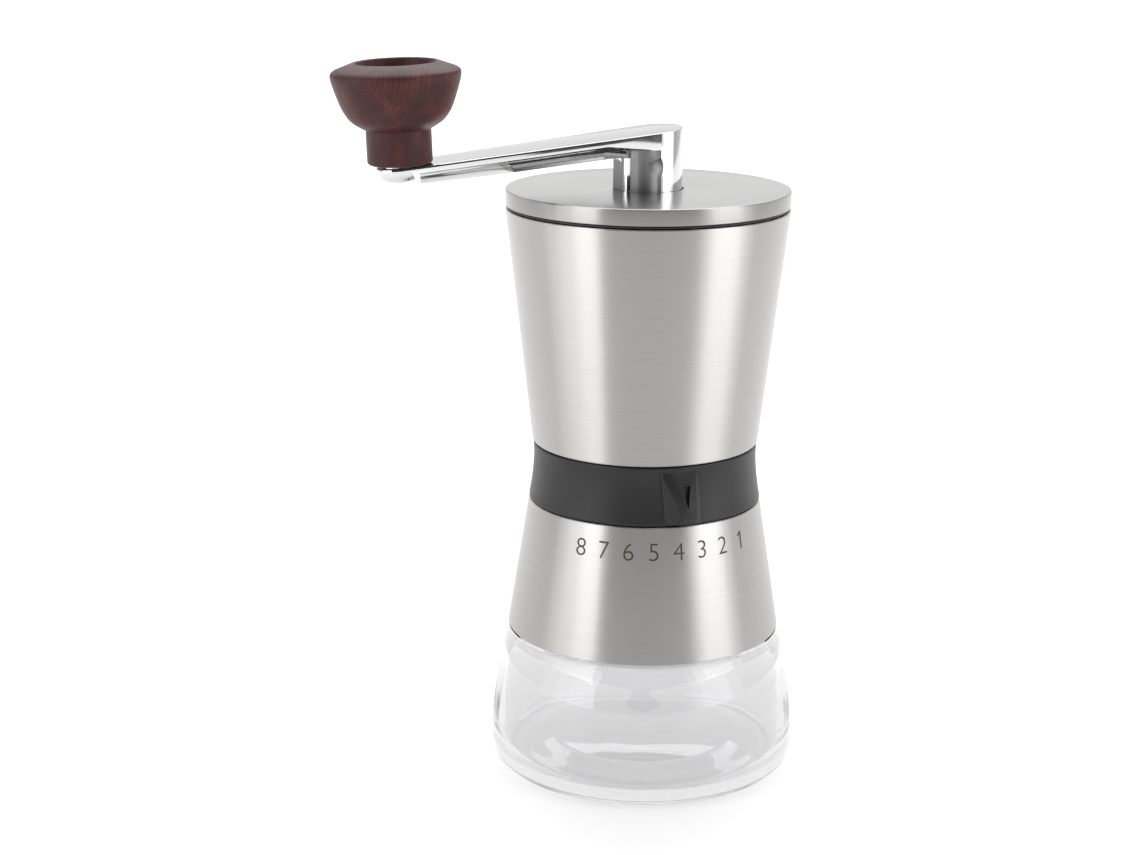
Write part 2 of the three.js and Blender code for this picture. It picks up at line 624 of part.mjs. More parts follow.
const crank = new THREE.Group();
crank.rotation.z = radians(CRANK_ANGLE);
grinder.add(crank);
add('crank_arm', crankArm(), CHROME(), crank);
add('knob_washer', knobLean(washer(SLEEVE_BORE_R, WASHER_R, WASHER_BOTTOM_Z, -GAP)), CHROME(), crank);
add('knob_pin', knobPin(), STEEL(), crank);
add('knob_sleeve', knobLean(washer(SLEEVE_BORE_R, SLEEVE_R, GAP, SLEEVE_TOP_Z)), BRONZE(), crank);
add('wooden_knob', knob(), WOOD(), crank);

export default grinder;
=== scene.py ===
"""Hand crank coffee grinder: the finished look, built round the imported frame.

Sizes in the classes are millimetres, in the grinder's own frame: +Z up, the origin at the centre of the
jar's underside, the dial's numbers on the -Y side. Meshes are scaled to metres when they are made.
"""

import json
import logging
import math
from dataclasses import dataclass
from enum import Enum
from typing import Callable, Iterable, Sequence, Union

import bmesh
import bpy
from mathutils import Matrix, Vector

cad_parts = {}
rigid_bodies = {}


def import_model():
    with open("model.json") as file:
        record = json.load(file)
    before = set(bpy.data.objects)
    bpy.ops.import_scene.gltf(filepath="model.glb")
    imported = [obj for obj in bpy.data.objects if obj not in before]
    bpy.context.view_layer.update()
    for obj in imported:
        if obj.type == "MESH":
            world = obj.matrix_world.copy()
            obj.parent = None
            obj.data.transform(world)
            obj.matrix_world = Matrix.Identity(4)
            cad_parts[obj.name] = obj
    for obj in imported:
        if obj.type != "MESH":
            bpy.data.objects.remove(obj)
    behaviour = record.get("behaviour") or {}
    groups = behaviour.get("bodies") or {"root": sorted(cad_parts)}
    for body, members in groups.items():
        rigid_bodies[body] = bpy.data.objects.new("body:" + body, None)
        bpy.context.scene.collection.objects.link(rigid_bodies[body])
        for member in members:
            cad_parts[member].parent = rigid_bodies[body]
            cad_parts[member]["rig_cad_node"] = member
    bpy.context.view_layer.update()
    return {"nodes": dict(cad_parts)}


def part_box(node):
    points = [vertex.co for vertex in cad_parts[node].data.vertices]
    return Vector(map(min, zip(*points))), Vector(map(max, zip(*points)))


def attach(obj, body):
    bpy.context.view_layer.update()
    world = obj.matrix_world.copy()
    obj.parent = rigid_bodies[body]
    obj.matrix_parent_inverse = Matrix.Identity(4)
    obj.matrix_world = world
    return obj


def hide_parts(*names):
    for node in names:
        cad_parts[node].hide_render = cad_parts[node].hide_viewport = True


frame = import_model()

LOG = logging.getLogger("grinder")
MM = 0.001
FULL_TURN = 2 * math.pi
FINE_STEPS = 192  # sides of a wide round piece
SMALL_STEPS = 64  # sides of a narrow one
WELD = 1e-4  # corners nearer than this are merged
CLEAR = 1.0  # how far a cutter runs on past what it cuts

Point = tuple[float, float]
Spot = tuple[float, float, float]
Colour = tuple[float, float, float]


# ---------------------------------------------------------------- outlines


def rounded(points: Sequence[tuple[float, ...]], segments: int = 5) -> list[Point]:
    """Turns an open outline's marked corners into arcs.

    Args:
        points: (radius, height) or (radius, height, fillet) for each corner.
        segments: steps in each arc.

    Returns:
        The outline's points, with an arc wherever a fillet was given.
    """
    path: list[Point] = []
    last = len(points) - 1
    for i, point in enumerate(points):
        if len(point) < 3 or i in (0, last):
            path.append((point[0], point[1]))
            continue
        here = Vector(point[:2])
        back = (Vector(points[i - 1][:2]) - here).normalized()
        ahead = (Vector(points[i + 1][:2]) - here).normalized()
        half = back.angle(ahead) / 2
        reach = point[2] / math.tan(half)
        centre = here + (back + ahead).normalized() * (point[2] / math.sin(half))
        start = here + back * reach - centre
        sweep = (here + ahead * reach - centre).angle_signed(start)
        for step in range(segments + 1):
            turn = sweep * step / segments
            spoke = Vector((start.x * math.cos(turn) - start.y * math.sin(turn),
                            start.x * math.sin(turn) + start.y * math.cos(turn)))
            path.append(tuple(centre + spoke))
    return path


def rounded_ring(points: Sequence[tuple[float, ...]], segments: int = 5) -> list[Point]:
    """Turns a closed outline's marked corners into arcs.

    Args:
        points: as in rounded, where the first one is not a marked corner.
        segments: steps in each arc.

    Returns:
        The closed outline's points.
    """
    return rounded([*points, points[0]], segments)[:-1]


def flowing(points: Sequence[Point], steps: int = 6) -> list[Point]:
    """Runs a smooth curve through points.

    Args:
        points: (radius, height) pairs that the curve passes through.
        steps: pieces between two neighbouring points.

    Returns:
        The curve's points, first and last included.
    """
    knots = [Vector(p) for p in points]
    knots = [2 * knots[0] - knots[1], *knots, 2 * knots[-1] - knots[-2]]
    path: list[Point] = []
    for before, here, there, after in zip(knots, knots[1:], knots[2:], knots[3:]):
        for step in range(steps):
            t = step / steps
            bend = (2 * here + (there - before) * t + (2 * before - 5 * here + 4 * there - after) * t**2
                    + (3 * here - before - 3 * there + after) * t**3)
            path.append(tuple(bend / 2))
    path.append(tuple(knots[-2]))
    return path


# ---------------------------------------------------------------- mesh work


class Join(Enum):
    """How two closed meshes are combined."""

    UNION = "UNION"
    DIFFERENCE = "DIFFERENCE"
    INTERSECT = "INTERSECT"


class Work:
    """A piece on the bench: a bmesh in millimetres with the operations that this object needs."""

    def __init__(self) -> None:
        """Starts with an empty mesh."""
        self.bm = bmesh.new()

    def turn(self, outline: Iterable[Point], steps: int = FINE_STEPS, closed: bool = False) -> "Work":
        """Turns an outline about Z.

        Args:
            outline: (radius, height) points.
            steps: sides of the full turn.
            closed: whether the outline is a ring, as on a piece with a bore.

        Returns:
            This piece.
        """
        corners = [self.bm.verts.new((r, 0, z)) for r, z in outline]
        edges = [self.bm.edges.new(pair) for pair in zip(corners, corners[1:])]
        if closed:
            edges.append(self.bm.edges.new((corners[-1], corners[0])))
        bmesh.ops.spin(self.bm, geom=corners + edges, cent=(0, 0, 0), axis=(0, 0, 1), dvec=(0, 0, 0),
                       angle=FULL_TURN, steps=steps, use_merge=True, use_duplicate=False)
        return self.heal()

    def prism(self, outline: Iterable[Point], low: float, high: float) -> "Work":
        """Raises an outline in the XY plane between two heights.

        Args:
            outline: (x, y) points of a closed outline.
            low: height of the underside.
            high: height of the top.

        Returns:
            This piece.
        """
        base = self.bm.faces.new([self.bm.verts.new((x, y, low)) for x, y in outline])
        raised = bmesh.ops.extrude_face_region(self.bm, geom=[base])
        top = [v for v in raised["geom"] if isinstance(v, bmesh.types.BMVert)]
        bmesh.ops.translate(self.bm, verts=top, vec=(0, 0, high - low))
        return self.heal()

    def rod(self, radius: float, low: float, high: float, steps: int = SMALL_STEPS) -> "Work":
        """Adds a plain round or many-sided rod on Z.

        Args:
            radius: distance from the axis to the rod's corners.
            low: height of its lower end.
            high: height of its upper end.
            steps: its number of sides.

        Returns:
            This piece.
        """
        place = Matrix.Translation((0, 0, (low + high) / 2))
        bmesh.ops.create_cone(self.bm, cap_ends=True, segments=steps, radius1=radius, radius2=radius,
                              depth=high - low, matrix=place)
        return self

    def hull(self, corners: Iterable[Sequence[float]]) -> "Work":
        """Wraps a few corners in their convex hull.

        Args:
            corners: the places of the corners.

        Returns:
            This piece.
        """
        verts = [self.bm.verts.new(corner) for corner in corners]
        bmesh.ops.convex_hull(self.bm, input=verts)
        return self.heal()

    def heal(self) -> "Work":
        """Merges doubles and turns every face outwards."""
        bmesh.ops.remove_doubles(self.bm, verts=self.bm.verts, dist=WELD)
        bmesh.ops.recalc_face_normals(self.bm, faces=self.bm.faces)
        return self

    def soften(self, width: float, segments: int = 3, sharper: float = 30) -> "Work":
        """Rounds the sharp edges.

        Args:
            width: how far the rounding reaches from an edge.
            segments: steps across it.
            sharper: angle in degrees above which an edge is rounded.

        Returns:
            This piece.
        """
        limit = math.radians(sharper)
        edges = [e for e in self.bm.edges if e.is_manifold and e.calc_face_angle() > limit]
        bmesh.ops.bevel(self.bm, geom=edges, offset=width, segments=segments, profile=0.5,
                        affect="EDGES", material=-1, clamp_overlap=True)
        return self

    def move(self, matrix: Matrix) -> "Work":
        """Moves the whole piece."""
        bmesh.ops.transform(self.bm, matrix=matrix, verts=self.bm.verts)
        return self

    def bend(self, place: Callable[[Vector], Vector]) -> "Work":
        """Moves each corner to where a rule puts it."""
        for vert in self.bm.verts:
            vert.co = place(vert.co)
        return self

    def done(self, name: str, crease: float = 30) -> bpy.types.Object:
        """Makes the piece an object in metres, smooth but for creases.

        Args:
            name: the object's name.
            crease: angle in degrees above which an edge stays sharp.

        Returns:
            The new object, at the origin.
        """
        bmesh.ops.scale(self.bm, vec=(MM, MM, MM), verts=self.bm.verts)
        mesh = bpy.data.meshes.new(name)
        self.bm.to_mesh(mesh)
        self.bm.free()
        mesh.shade_smooth()
        mesh.set_sharp_from_angle(angle=math.radians(crease))
        piece = bpy.data.objects.new(name, mesh)
        bpy.context.scene.collection.objects.link(piece)
        return piece


def combine(base: bpy.types.Object, tool: bpy.types.Object, how: Join, crease: float = 30) -> None:
    """Joins or cuts a piece with another one, which is used up.

    Args:
        base: the piece that changes.
        tool: the closed piece to join, cut away or keep the inside of.
        how: which of the three.
        crease: angle in degrees above which an edge stays sharp.
    """
    cut = base.modifiers.new("combine", "BOOLEAN")
    cut.operation = how.value
    cut.object = tool
    cut.solver = "EXACT"
    graph = bpy.context.evaluated_depsgraph_get()
    shaped = bpy.data.meshes.new_from_object(base.evaluated_get(graph))
    base.modifiers.clear()
    used = base.data
    base.data = shaped
    bpy.data.meshes.remove(used)
    bpy.data.objects.remove(tool)
    shaped.name = base.name
    shaped.shade_smooth()
    shaped.set_sharp_from_angle(angle=math.radians(crease))


# ---------------------------------------------------------------- shader maths


class Value:
    """A number in a node tree that Python's operators work on."""

    def __init__(self, recipe: "Recipe", socket: bpy.types.NodeSocket) -> None:
        """Wraps an output socket of a recipe's tree."""
        self.recipe = recipe
        self.socket = socket

    def maths(self, operation: str, *others: "Number", first: bool = True) -> "Value":
        """Adds a Math node.

        Args:
            operation: the node's operation.
            others: the other numbers it takes.
            first: whether this value is its first number.

        Returns:
            The node's result.
        """
        numbers = [self, *others] if first else [*others, self]
        inputs = dict(enumerate(numbers))
        return self.recipe.add("ShaderNodeMath", {"operation": operation}, inputs)

    def __add__(self, other: "Number") -> "Value":
        """This plus another."""
        return self.maths("ADD", other)

    __radd__ = __add__

    def __sub__(self, other: "Number") -> "Value":
        """This less another."""
        return self.maths("SUBTRACT", other)

    def __rsub__(self, other: "Number") -> "Value":
        """Another less this."""
        return self.maths("SUBTRACT", other, first=False)

    def __mul__(self, other: "Number") -> "Value":
        """This times another."""
        return self.maths("MULTIPLY", other)

    __rmul__ = __mul__

    def over(self, low: float, high: float) -> "Value":
        """This as a share, from 0 at low to 1 at high, kept between them."""
        inputs = {"Value": self, "From Min": low, "From Max": high}
        return self.recipe.add("ShaderNodeMapRange", {"clamp": True}, inputs)


Number = Union[Value, float]


class Recipe:
    """The node tree of a material or of the world, being written."""

    def __init__(self, owner: Union[bpy.types.Material, bpy.types.World]) -> None:
        """Empties the owner's tree."""
        self.owner = owner
        self.owner.use_nodes = True
        self.tree = self.owner.node_tree
        self.tree.nodes.clear()

    def node(self, kind: str, settings: dict[str, object],
             inputs: dict[Union[int, str], object]) -> bpy.types.Node:
        """Adds any node.

        Args:
            kind: the node's type.
            settings: its properties, set first; "stops" fills a colour ramp.
            inputs: values or links for its sockets, by name or number.

        Returns:
            The node.
        """
        node = self.tree.nodes.new(kind)
        for key, setting in settings.items():
            if key == "stops":
                self.fill_ramp(node.color_ramp, setting)
            else:
                setattr(node, key, setting)
        for key, value in inputs.items():
            if isinstance(value, Value):
                self.tree.links.new(value.socket, node.inputs[key])
            elif isinstance(value, bpy.types.NodeSocket):
                self.tree.links.new(value, node.inputs[key])
            else:
                node.inputs[key].default_value = value
        return node

    def add(self, kind: str, settings: dict[str, object], inputs: dict[Union[int, str], object],
            output: Union[int, str] = 0) -> Value:
        """Adds any node and gives one of its results."""
        return Value(self, self.node(kind, settings, inputs).outputs[output])

    @staticmethod
    def fill_ramp(ramp: bpy.types.ColorRamp, stops: Sequence[tuple[float, Colour]]) -> None:
        """Sets a colour ramp's stops.

        Args:
            ramp: the ramp, which has two stops to begin with.
            stops: the place and the colour of each.
        """
        while len(ramp.elements) < len(stops):
            ramp.elements.new(1)
        for element, (place, colour) in zip(ramp.elements, stops):
            element.position = place
            element.color = (*colour, 1)

    def place(self, stretch: Spot = (1, 1, 1), centre: Spot = (0, 0, 0)) -> Value:
        """Object coordinates in millimetres.

        Args:
            stretch: the factor along each axis; a pattern is drawn out where it is small.
            centre: the place that counts as zero.

        Returns:
            The coordinates.
        """
        spot = self.add("ShaderNodeTexCoord", {}, {}, "Object")
        scale = tuple(s / MM for s in stretch)
        shift = tuple(-c * s for c, s in zip(centre, stretch))
        inputs = {"Vector": spot, "Scale": scale, "Location": shift}
        return self.add("ShaderNodeMapping", {"vector_type": "POINT"}, inputs)

    def noise(self, where: Value, scale: float, detail: float = 2, warp: float = 0) -> Value:
        """A noise between 0 and 1, where scale is in features per millimetre."""
        inputs = {"Vector": where, "Scale": scale, "Detail": detail, "Distortion": warp}
        return self.add("ShaderNodeTexNoise", {}, inputs, "Fac")

    def ramp(self, value: Number, stops: Sequence[tuple[float, Colour]]) -> Value:
        """A colour for each height of a value."""
        return self.add("ShaderNodeValToRGB", {"stops": stops}, {0: value}, "Color")

    def bump(self, height: Number, depth: float) -> Value:
        """A bumped normal, with the height's depth in millimetres."""
        inputs = {"Height": height, "Distance": depth * MM, "Strength": 1.0}
        return self.add("ShaderNodeBump", {}, inputs, "Normal")

    def surface(self, **inputs: object) -> bpy.types.Material:
        """Finishes the material with one Principled shader.

        Args:
            inputs: values or links for the shader's sockets, named with underscores.

        Returns:
            The material.
        """
        named = {key.replace("_", " "): value for key, value in inputs.items()}
        shader = self.node("ShaderNodeBsdfPrincipled", {}, named)
        self.node("ShaderNodeOutputMaterial", {}, {"Surface": shader.outputs[0]})
        return self.owner


# ---------------------------------------------------------------- finishes

MADE: dict[str, bpy.types.Material] = {}


def shade(colour: Colour, factor: float) -> Colour:
    """A colour made darker or lighter."""
    return tuple(part * factor for part in colour)


@dataclass(frozen=True)
class Finish:
    """A finish that pieces can be dressed in.

    Attributes:
        name: the material's name.
        slot: the material slot of the pieces that wear it; not used.
    """

    name: str
    slot: str

    def recipe(self) -> Recipe:
        """Starts the material."""
        return Recipe(bpy.data.materials.new(self.name))

    def make(self) -> bpy.types.Material:
        """Writes the material."""
        raise NotImplementedError

    def material(self) -> bpy.types.Material:
        """The material, written the first time that it is wanted."""
        if self.name not in MADE:
            MADE[self.name] = self.make()
        return MADE[self.name]

    def dress(self, piece: bpy.types.Object) -> None:
        """Gives a piece this finish."""
        piece.data.materials.clear()
        piece.data.materials.append(self.material())


@dataclass(frozen=True)
class BrushedSteel(Finish):
    """Sheet steel brushed round the grinder's axis."""

    name: str = "steel_brushed_round"
    slot: str = "brushed_steel"
    colour: Colour = (0.515, 0.5, 0.487)
    roughness: float = 0.38
    streaks: float = 0.05

    def make(self) -> bpy.types.Material:
        """Writes the material: fine level streaks in the tone, the roughness and the surface."""
        recipe = self.recipe()
        fine = recipe.noise(recipe.place((0.05, 0.05, 9)), 1, detail=3)
        broad = recipe.noise(recipe.place((0.03, 0.03, 1.6)), 1, detail=2)
        streak = fine * 0.7 + broad * 0.3
        dark, light = shade(self.colour, 1 - self.streaks), shade(self.colour, 1 + self.streaks)
        return recipe.surface(
            Base_Color=recipe.ramp(streak, [(0.35, dark), (0.65, light)]),
            Metallic=1.0,
            Roughness=streak * 0.12 + (self.roughness - 0.06),
            Anisotropic=1.0,
            Anisotropic_Rotation=0.25,
            Normal=recipe.bump(fine, 0.002),
        )


@dataclass(frozen=True)
class SatinSteel(Finish):
    """The lid's flat top, satin brushed in long fine lines."""

    name: str = "steel_satin"
    slot: str = "brushed_steel"
    colour: Colour = (0.43, 0.43, 0.425)
    roughness: float = 0.22
    lines: float = 0.03

    def make(self) -> bpy.types.Material:
        """Writes the material: faint lines along X in tone and roughness."""
        recipe = self.recipe()
        lines = recipe.noise(recipe.place((0.04, 6, 6)), 1, detail=3)
        dark, light = shade(self.colour, 1 - self.lines), shade(self.colour, 1 + self.lines)
        return recipe.surface(
            Base_Color=recipe.ramp(lines, [(0.35, dark), (0.65, light)]),
            Metallic=1.0,
            Roughness=lines * 0.1 + (self.roughness - 0.05),
            Normal=recipe.bump(lines, 0.002),
        )


@dataclass(frozen=True)
class PlainSteel(Finish):
    """Turned steel of the inner parts and fasteners."""

    name: str = "turned_steel"
    slot: str = "plain_steel"
    colour: Colour = (0.55, 0.55, 0.55)
    roughness: float = 0.32

    def make(self) -> bpy.types.Material:
        """Writes the material: tool marks round the axis and a mottled roughness."""
        recipe = self.recipe()
        marks = recipe.noise(recipe.place((0.2, 0.2, 5)), 1, detail=2)
        cloud = recipe.noise(recipe.place(), 0.3, detail=3)
        return recipe.surface(
            Base_Color=recipe.ramp(cloud, [(0.3, shade(self.colour, 0.9)), (0.7, self.colour)]),
            Metallic=1.0,
            Roughness=marks * 0.12 + cloud * 0.1 + (self.roughness - 0.1),
            Normal=recipe.bump(marks, 0.004),
        )


@dataclass(frozen=True)
class Chrome(Finish):
    """Polished chrome plate."""

    name: str = "polished_chrome"
    slot: str = "chrome"
    colour: Colour = (0.66, 0.66, 0.665)

    def make(self) -> bpy.types.Material:
        """Writes the material: a mirror with faint wipe marks."""
        recipe = self.recipe()
        wipes = recipe.noise(recipe.place((0.2, 0.2, 0.6)), 1, detail=3)
        return recipe.surface(
            Base_Color=recipe.ramp(wipes, [(0.3, shade(self.colour, 0.975)), (0.7, self.colour)]),
            Metallic=1.0,
            Roughness=wipes.over(0.4, 0.9) * 0.05 + 0.07,
        )


@dataclass(frozen=True)
class SatinPlastic(Finish):
    """Black plastic moulded with a fine spark-eroded grain."""

    name: str = "satin_black_plastic"
    slot: str = "black_plastic"
    colour: Colour = (0.011, 0.011, 0.0115)
    roughness: float = 0.42
    grain: float = 0.02

    def make(self) -> bpy.types.Material:
        """Writes the material: grain in the surface and a slight cloud in the tone."""
        recipe = self.recipe()
        grain = recipe.noise(recipe.place(), 4, detail=2)
        cloud = recipe.noise(recipe.place(), 0.15, detail=2)
        return recipe.surface(
            Base_Color=recipe.ramp(cloud, [(0.3, self.colour), (0.7, shade(self.colour, 1.3))]),
            Roughness=grain * 0.12 + (self.roughness - 0.06),
            Specular_IOR_Level=0.35,
            Normal=recipe.bump(grain, self.grain),
        )


@dataclass(frozen=True)
class ClearGlass(Finish):
    """Thick clear pressed glass."""

    name: str = "clear_glass"
    slot: str = "glass"
    tint: Colour = (0.785, 0.783, 0.79)
    lamp_tint: Colour = (0.96, 0.965, 0.965)
    ior: float = 1.5

    def make(self) -> bpy.types.Material:
        """Writes the material: glass with the slow waves of a mould, which lets lamplight pass."""
        recipe = self.recipe()
        waves = recipe.noise(recipe.place((1, 1, 0.4)), 0.09, detail=1)
        shader = recipe.node("ShaderNodeBsdfPrincipled", {}, {
            "Base Color": (*self.tint, 1), "Roughness": 0.0, "IOR": self.ior,
            "Transmission Weight": 1.0, "Normal": recipe.bump(waves, 0.12),
        })
        lamps = recipe.add("ShaderNodeLightPath", {}, {}, "Is Shadow Ray")
        open_way = recipe.node("ShaderNodeBsdfTransparent", {}, {"Color": (*self.lamp_tint, 1)})
        mix = recipe.node("ShaderNodeMixShader", {}, {
            0: lamps, 1: shader.outputs[0], 2: open_way.outputs[0],
        })
        recipe.node("ShaderNodeOutputMaterial", {}, {"Surface": mix.outputs[0]})
        return recipe.owner


@dataclass(frozen=True)
class StainedWood(Finish):
    """Close-grained wood, stained dark red-brown and lacquered.

    Attributes:
        dark: tone of the darkest figure.
        middle: tone between.
        light: tone of the lightest figure.
        pith: a place on the tree's axis, which the drift of the tone follows.
        knot: the place that the rings curve round.
    """

    name: str = "stained_wood"
    slot: str = "wood"
    dark: Colour = (0.026, 0.0075, 0.0078)
    middle: Colour = (0.045, 0.0125, 0.012)
    light: Colour = (0.1, 0.025, 0.018)
    pith: Spot = (-74.0, -38.0, 0.0)
    knot: Spot = (-72.0, -38.0, 195.0)

    def make(self) -> bpy.types.Material:
        """Writes the material: a mottled tone, rings curved round a knot at one side, fibres and pores."""
        recipe = self.recipe()
        along = recipe.place((1, 1, 0.16), centre=self.pith)
        drift = recipe.noise(along, 0.35, detail=3, warp=0.4)
        mottle = recipe.noise(recipe.place((1, 1, 0.6)), 0.22, detail=4)
        rings = recipe.add("ShaderNodeTexWave", {"wave_type": "RINGS", "rings_direction": "Y"}, {
            "Vector": recipe.place(centre=self.knot), "Scale": 0.24, "Distortion": 2.0,
            "Detail": 2.0, "Detail Scale": 0.6,
        }, "Fac")
        fibres = recipe.noise(recipe.place((4, 4, 0.35)), 1, detail=3)
        pores = recipe.noise(recipe.place((5, 5, 0.6)), 1.2, detail=1).over(0.62, 0.7)
        tone = rings * 0.07 + fibres * 0.13 + drift * 0.2 + mottle * 0.6 - pores * 0.13
        return recipe.surface(
            Base_Color=recipe.ramp(tone, [(0.22, self.dark), (0.5, self.middle), (0.72, self.light)]),
            Roughness=fibres * 0.15 + 0.42,
            Specular_IOR_Level=0.2,
            Coat_Weight=0.06,
            Coat_Roughness=0.3,
            Normal=recipe.bump(fibres * 0.5 - pores, 0.03),
        )


@dataclass(frozen=True)
class Plain(Finish):
    """A finish with only a cloudy tone, as on ceramic, bronze, silicone, etched marks or dull chrome, the
    last darkened as painted shade.

    Attributes:
        colour: the lighter tone.
        roughness: the middle of its roughness.
        metallic: how far it is metal.
        cloud: share by which the darker tone is darker.
        scale: clouds per millimetre.
        depth: depth of the uneven surface, in millimetres.
    """

    colour: Colour = (0.5, 0.5, 0.5)
    roughness: float = 0.5
    metallic: float = 0.0
    cloud: float = 0.15
    scale: float = 0.6
    depth: float = 0.006

    def make(self) -> bpy.types.Material:
        """Writes the material: a cloudy tone and a fine uneven surface."""
        recipe = self.recipe()
        cloud = recipe.noise(recipe.place(), self.scale, detail=4)
        dark = shade(self.colour, 1 - self.cloud)
        return recipe.surface(
            Base_Color=recipe.ramp(cloud, [(0.3, dark), (0.7, self.colour)]),
            Metallic=self.metallic,
            Roughness=cloud * 0.15 + (self.roughness - 0.075),
            Normal=recipe.bump(cloud, self.depth),
        )


STEEL = BrushedSteel()
RIM = BrushedSteel("steel_brushed_rim", colour=(0.375, 0.363, 0.352), roughness=0.34)
LID_TOP = SatinSteel()
FITTING = PlainSteel()
CHROME = Chrome()
# Painted shade: a satin chrome darker than the polished one, for the crank's scoops and the hub's front
# under the arm.
SHADED_SATIN_CHROME = Plain("satin_chrome_painted_shade", "chrome", colour=(0.33, 0.33, 0.335), roughness=0.5, metallic=0.85,
               cloud=0.1, scale=1.5, depth=0.004)
BLACK = SatinPlastic()
GLASS = ClearGlass()
WOOD = StainedWood()
ETCHED = Plain("etched_marks", "brushed_steel", colour=(0.09, 0.07, 0.06), roughness=0.6, metallic=0.6,
               cloud=0.2, scale=2.0, depth=0.002)
CERAMIC = Plain("fired_ceramic", "ceramic", colour=(0.8, 0.77, 0.7), roughness=0.55,
                cloud=0.08, scale=0.5, depth=0.01)
BRONZE = Plain("bearing_bronze", "bronze", colour=(0.6, 0.4, 0.18), roughness=0.35, metallic=1.0,
               cloud=0.2, scale=0.8, depth=0.004)
SILICONE = Plain("white_silicone", "silicone", colour=(0.75, 0.75, 0.72), roughness=0.55,
                 cloud=0.05, scale=0.4, depth=0.006)


def fit(piece: bpy.types.Object, body: str, *nodes: str) -> bpy.types.Object:
    """Makes a piece ride on a body and stand for CAD nodes, and logs it.

    Args:
        piece: the finished piece.
        body: the CAD body that it moves with.
        nodes: the CAD nodes that it replaces.

    Returns:
        The piece.
    """
    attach(piece, body)
    if nodes:
        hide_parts(*nodes)
    LOG.info("%s: %d faces, rides on %s", piece.name, len(piece.data.polygons), body)
    return piece


# ---------------------------------------------------------------- jar


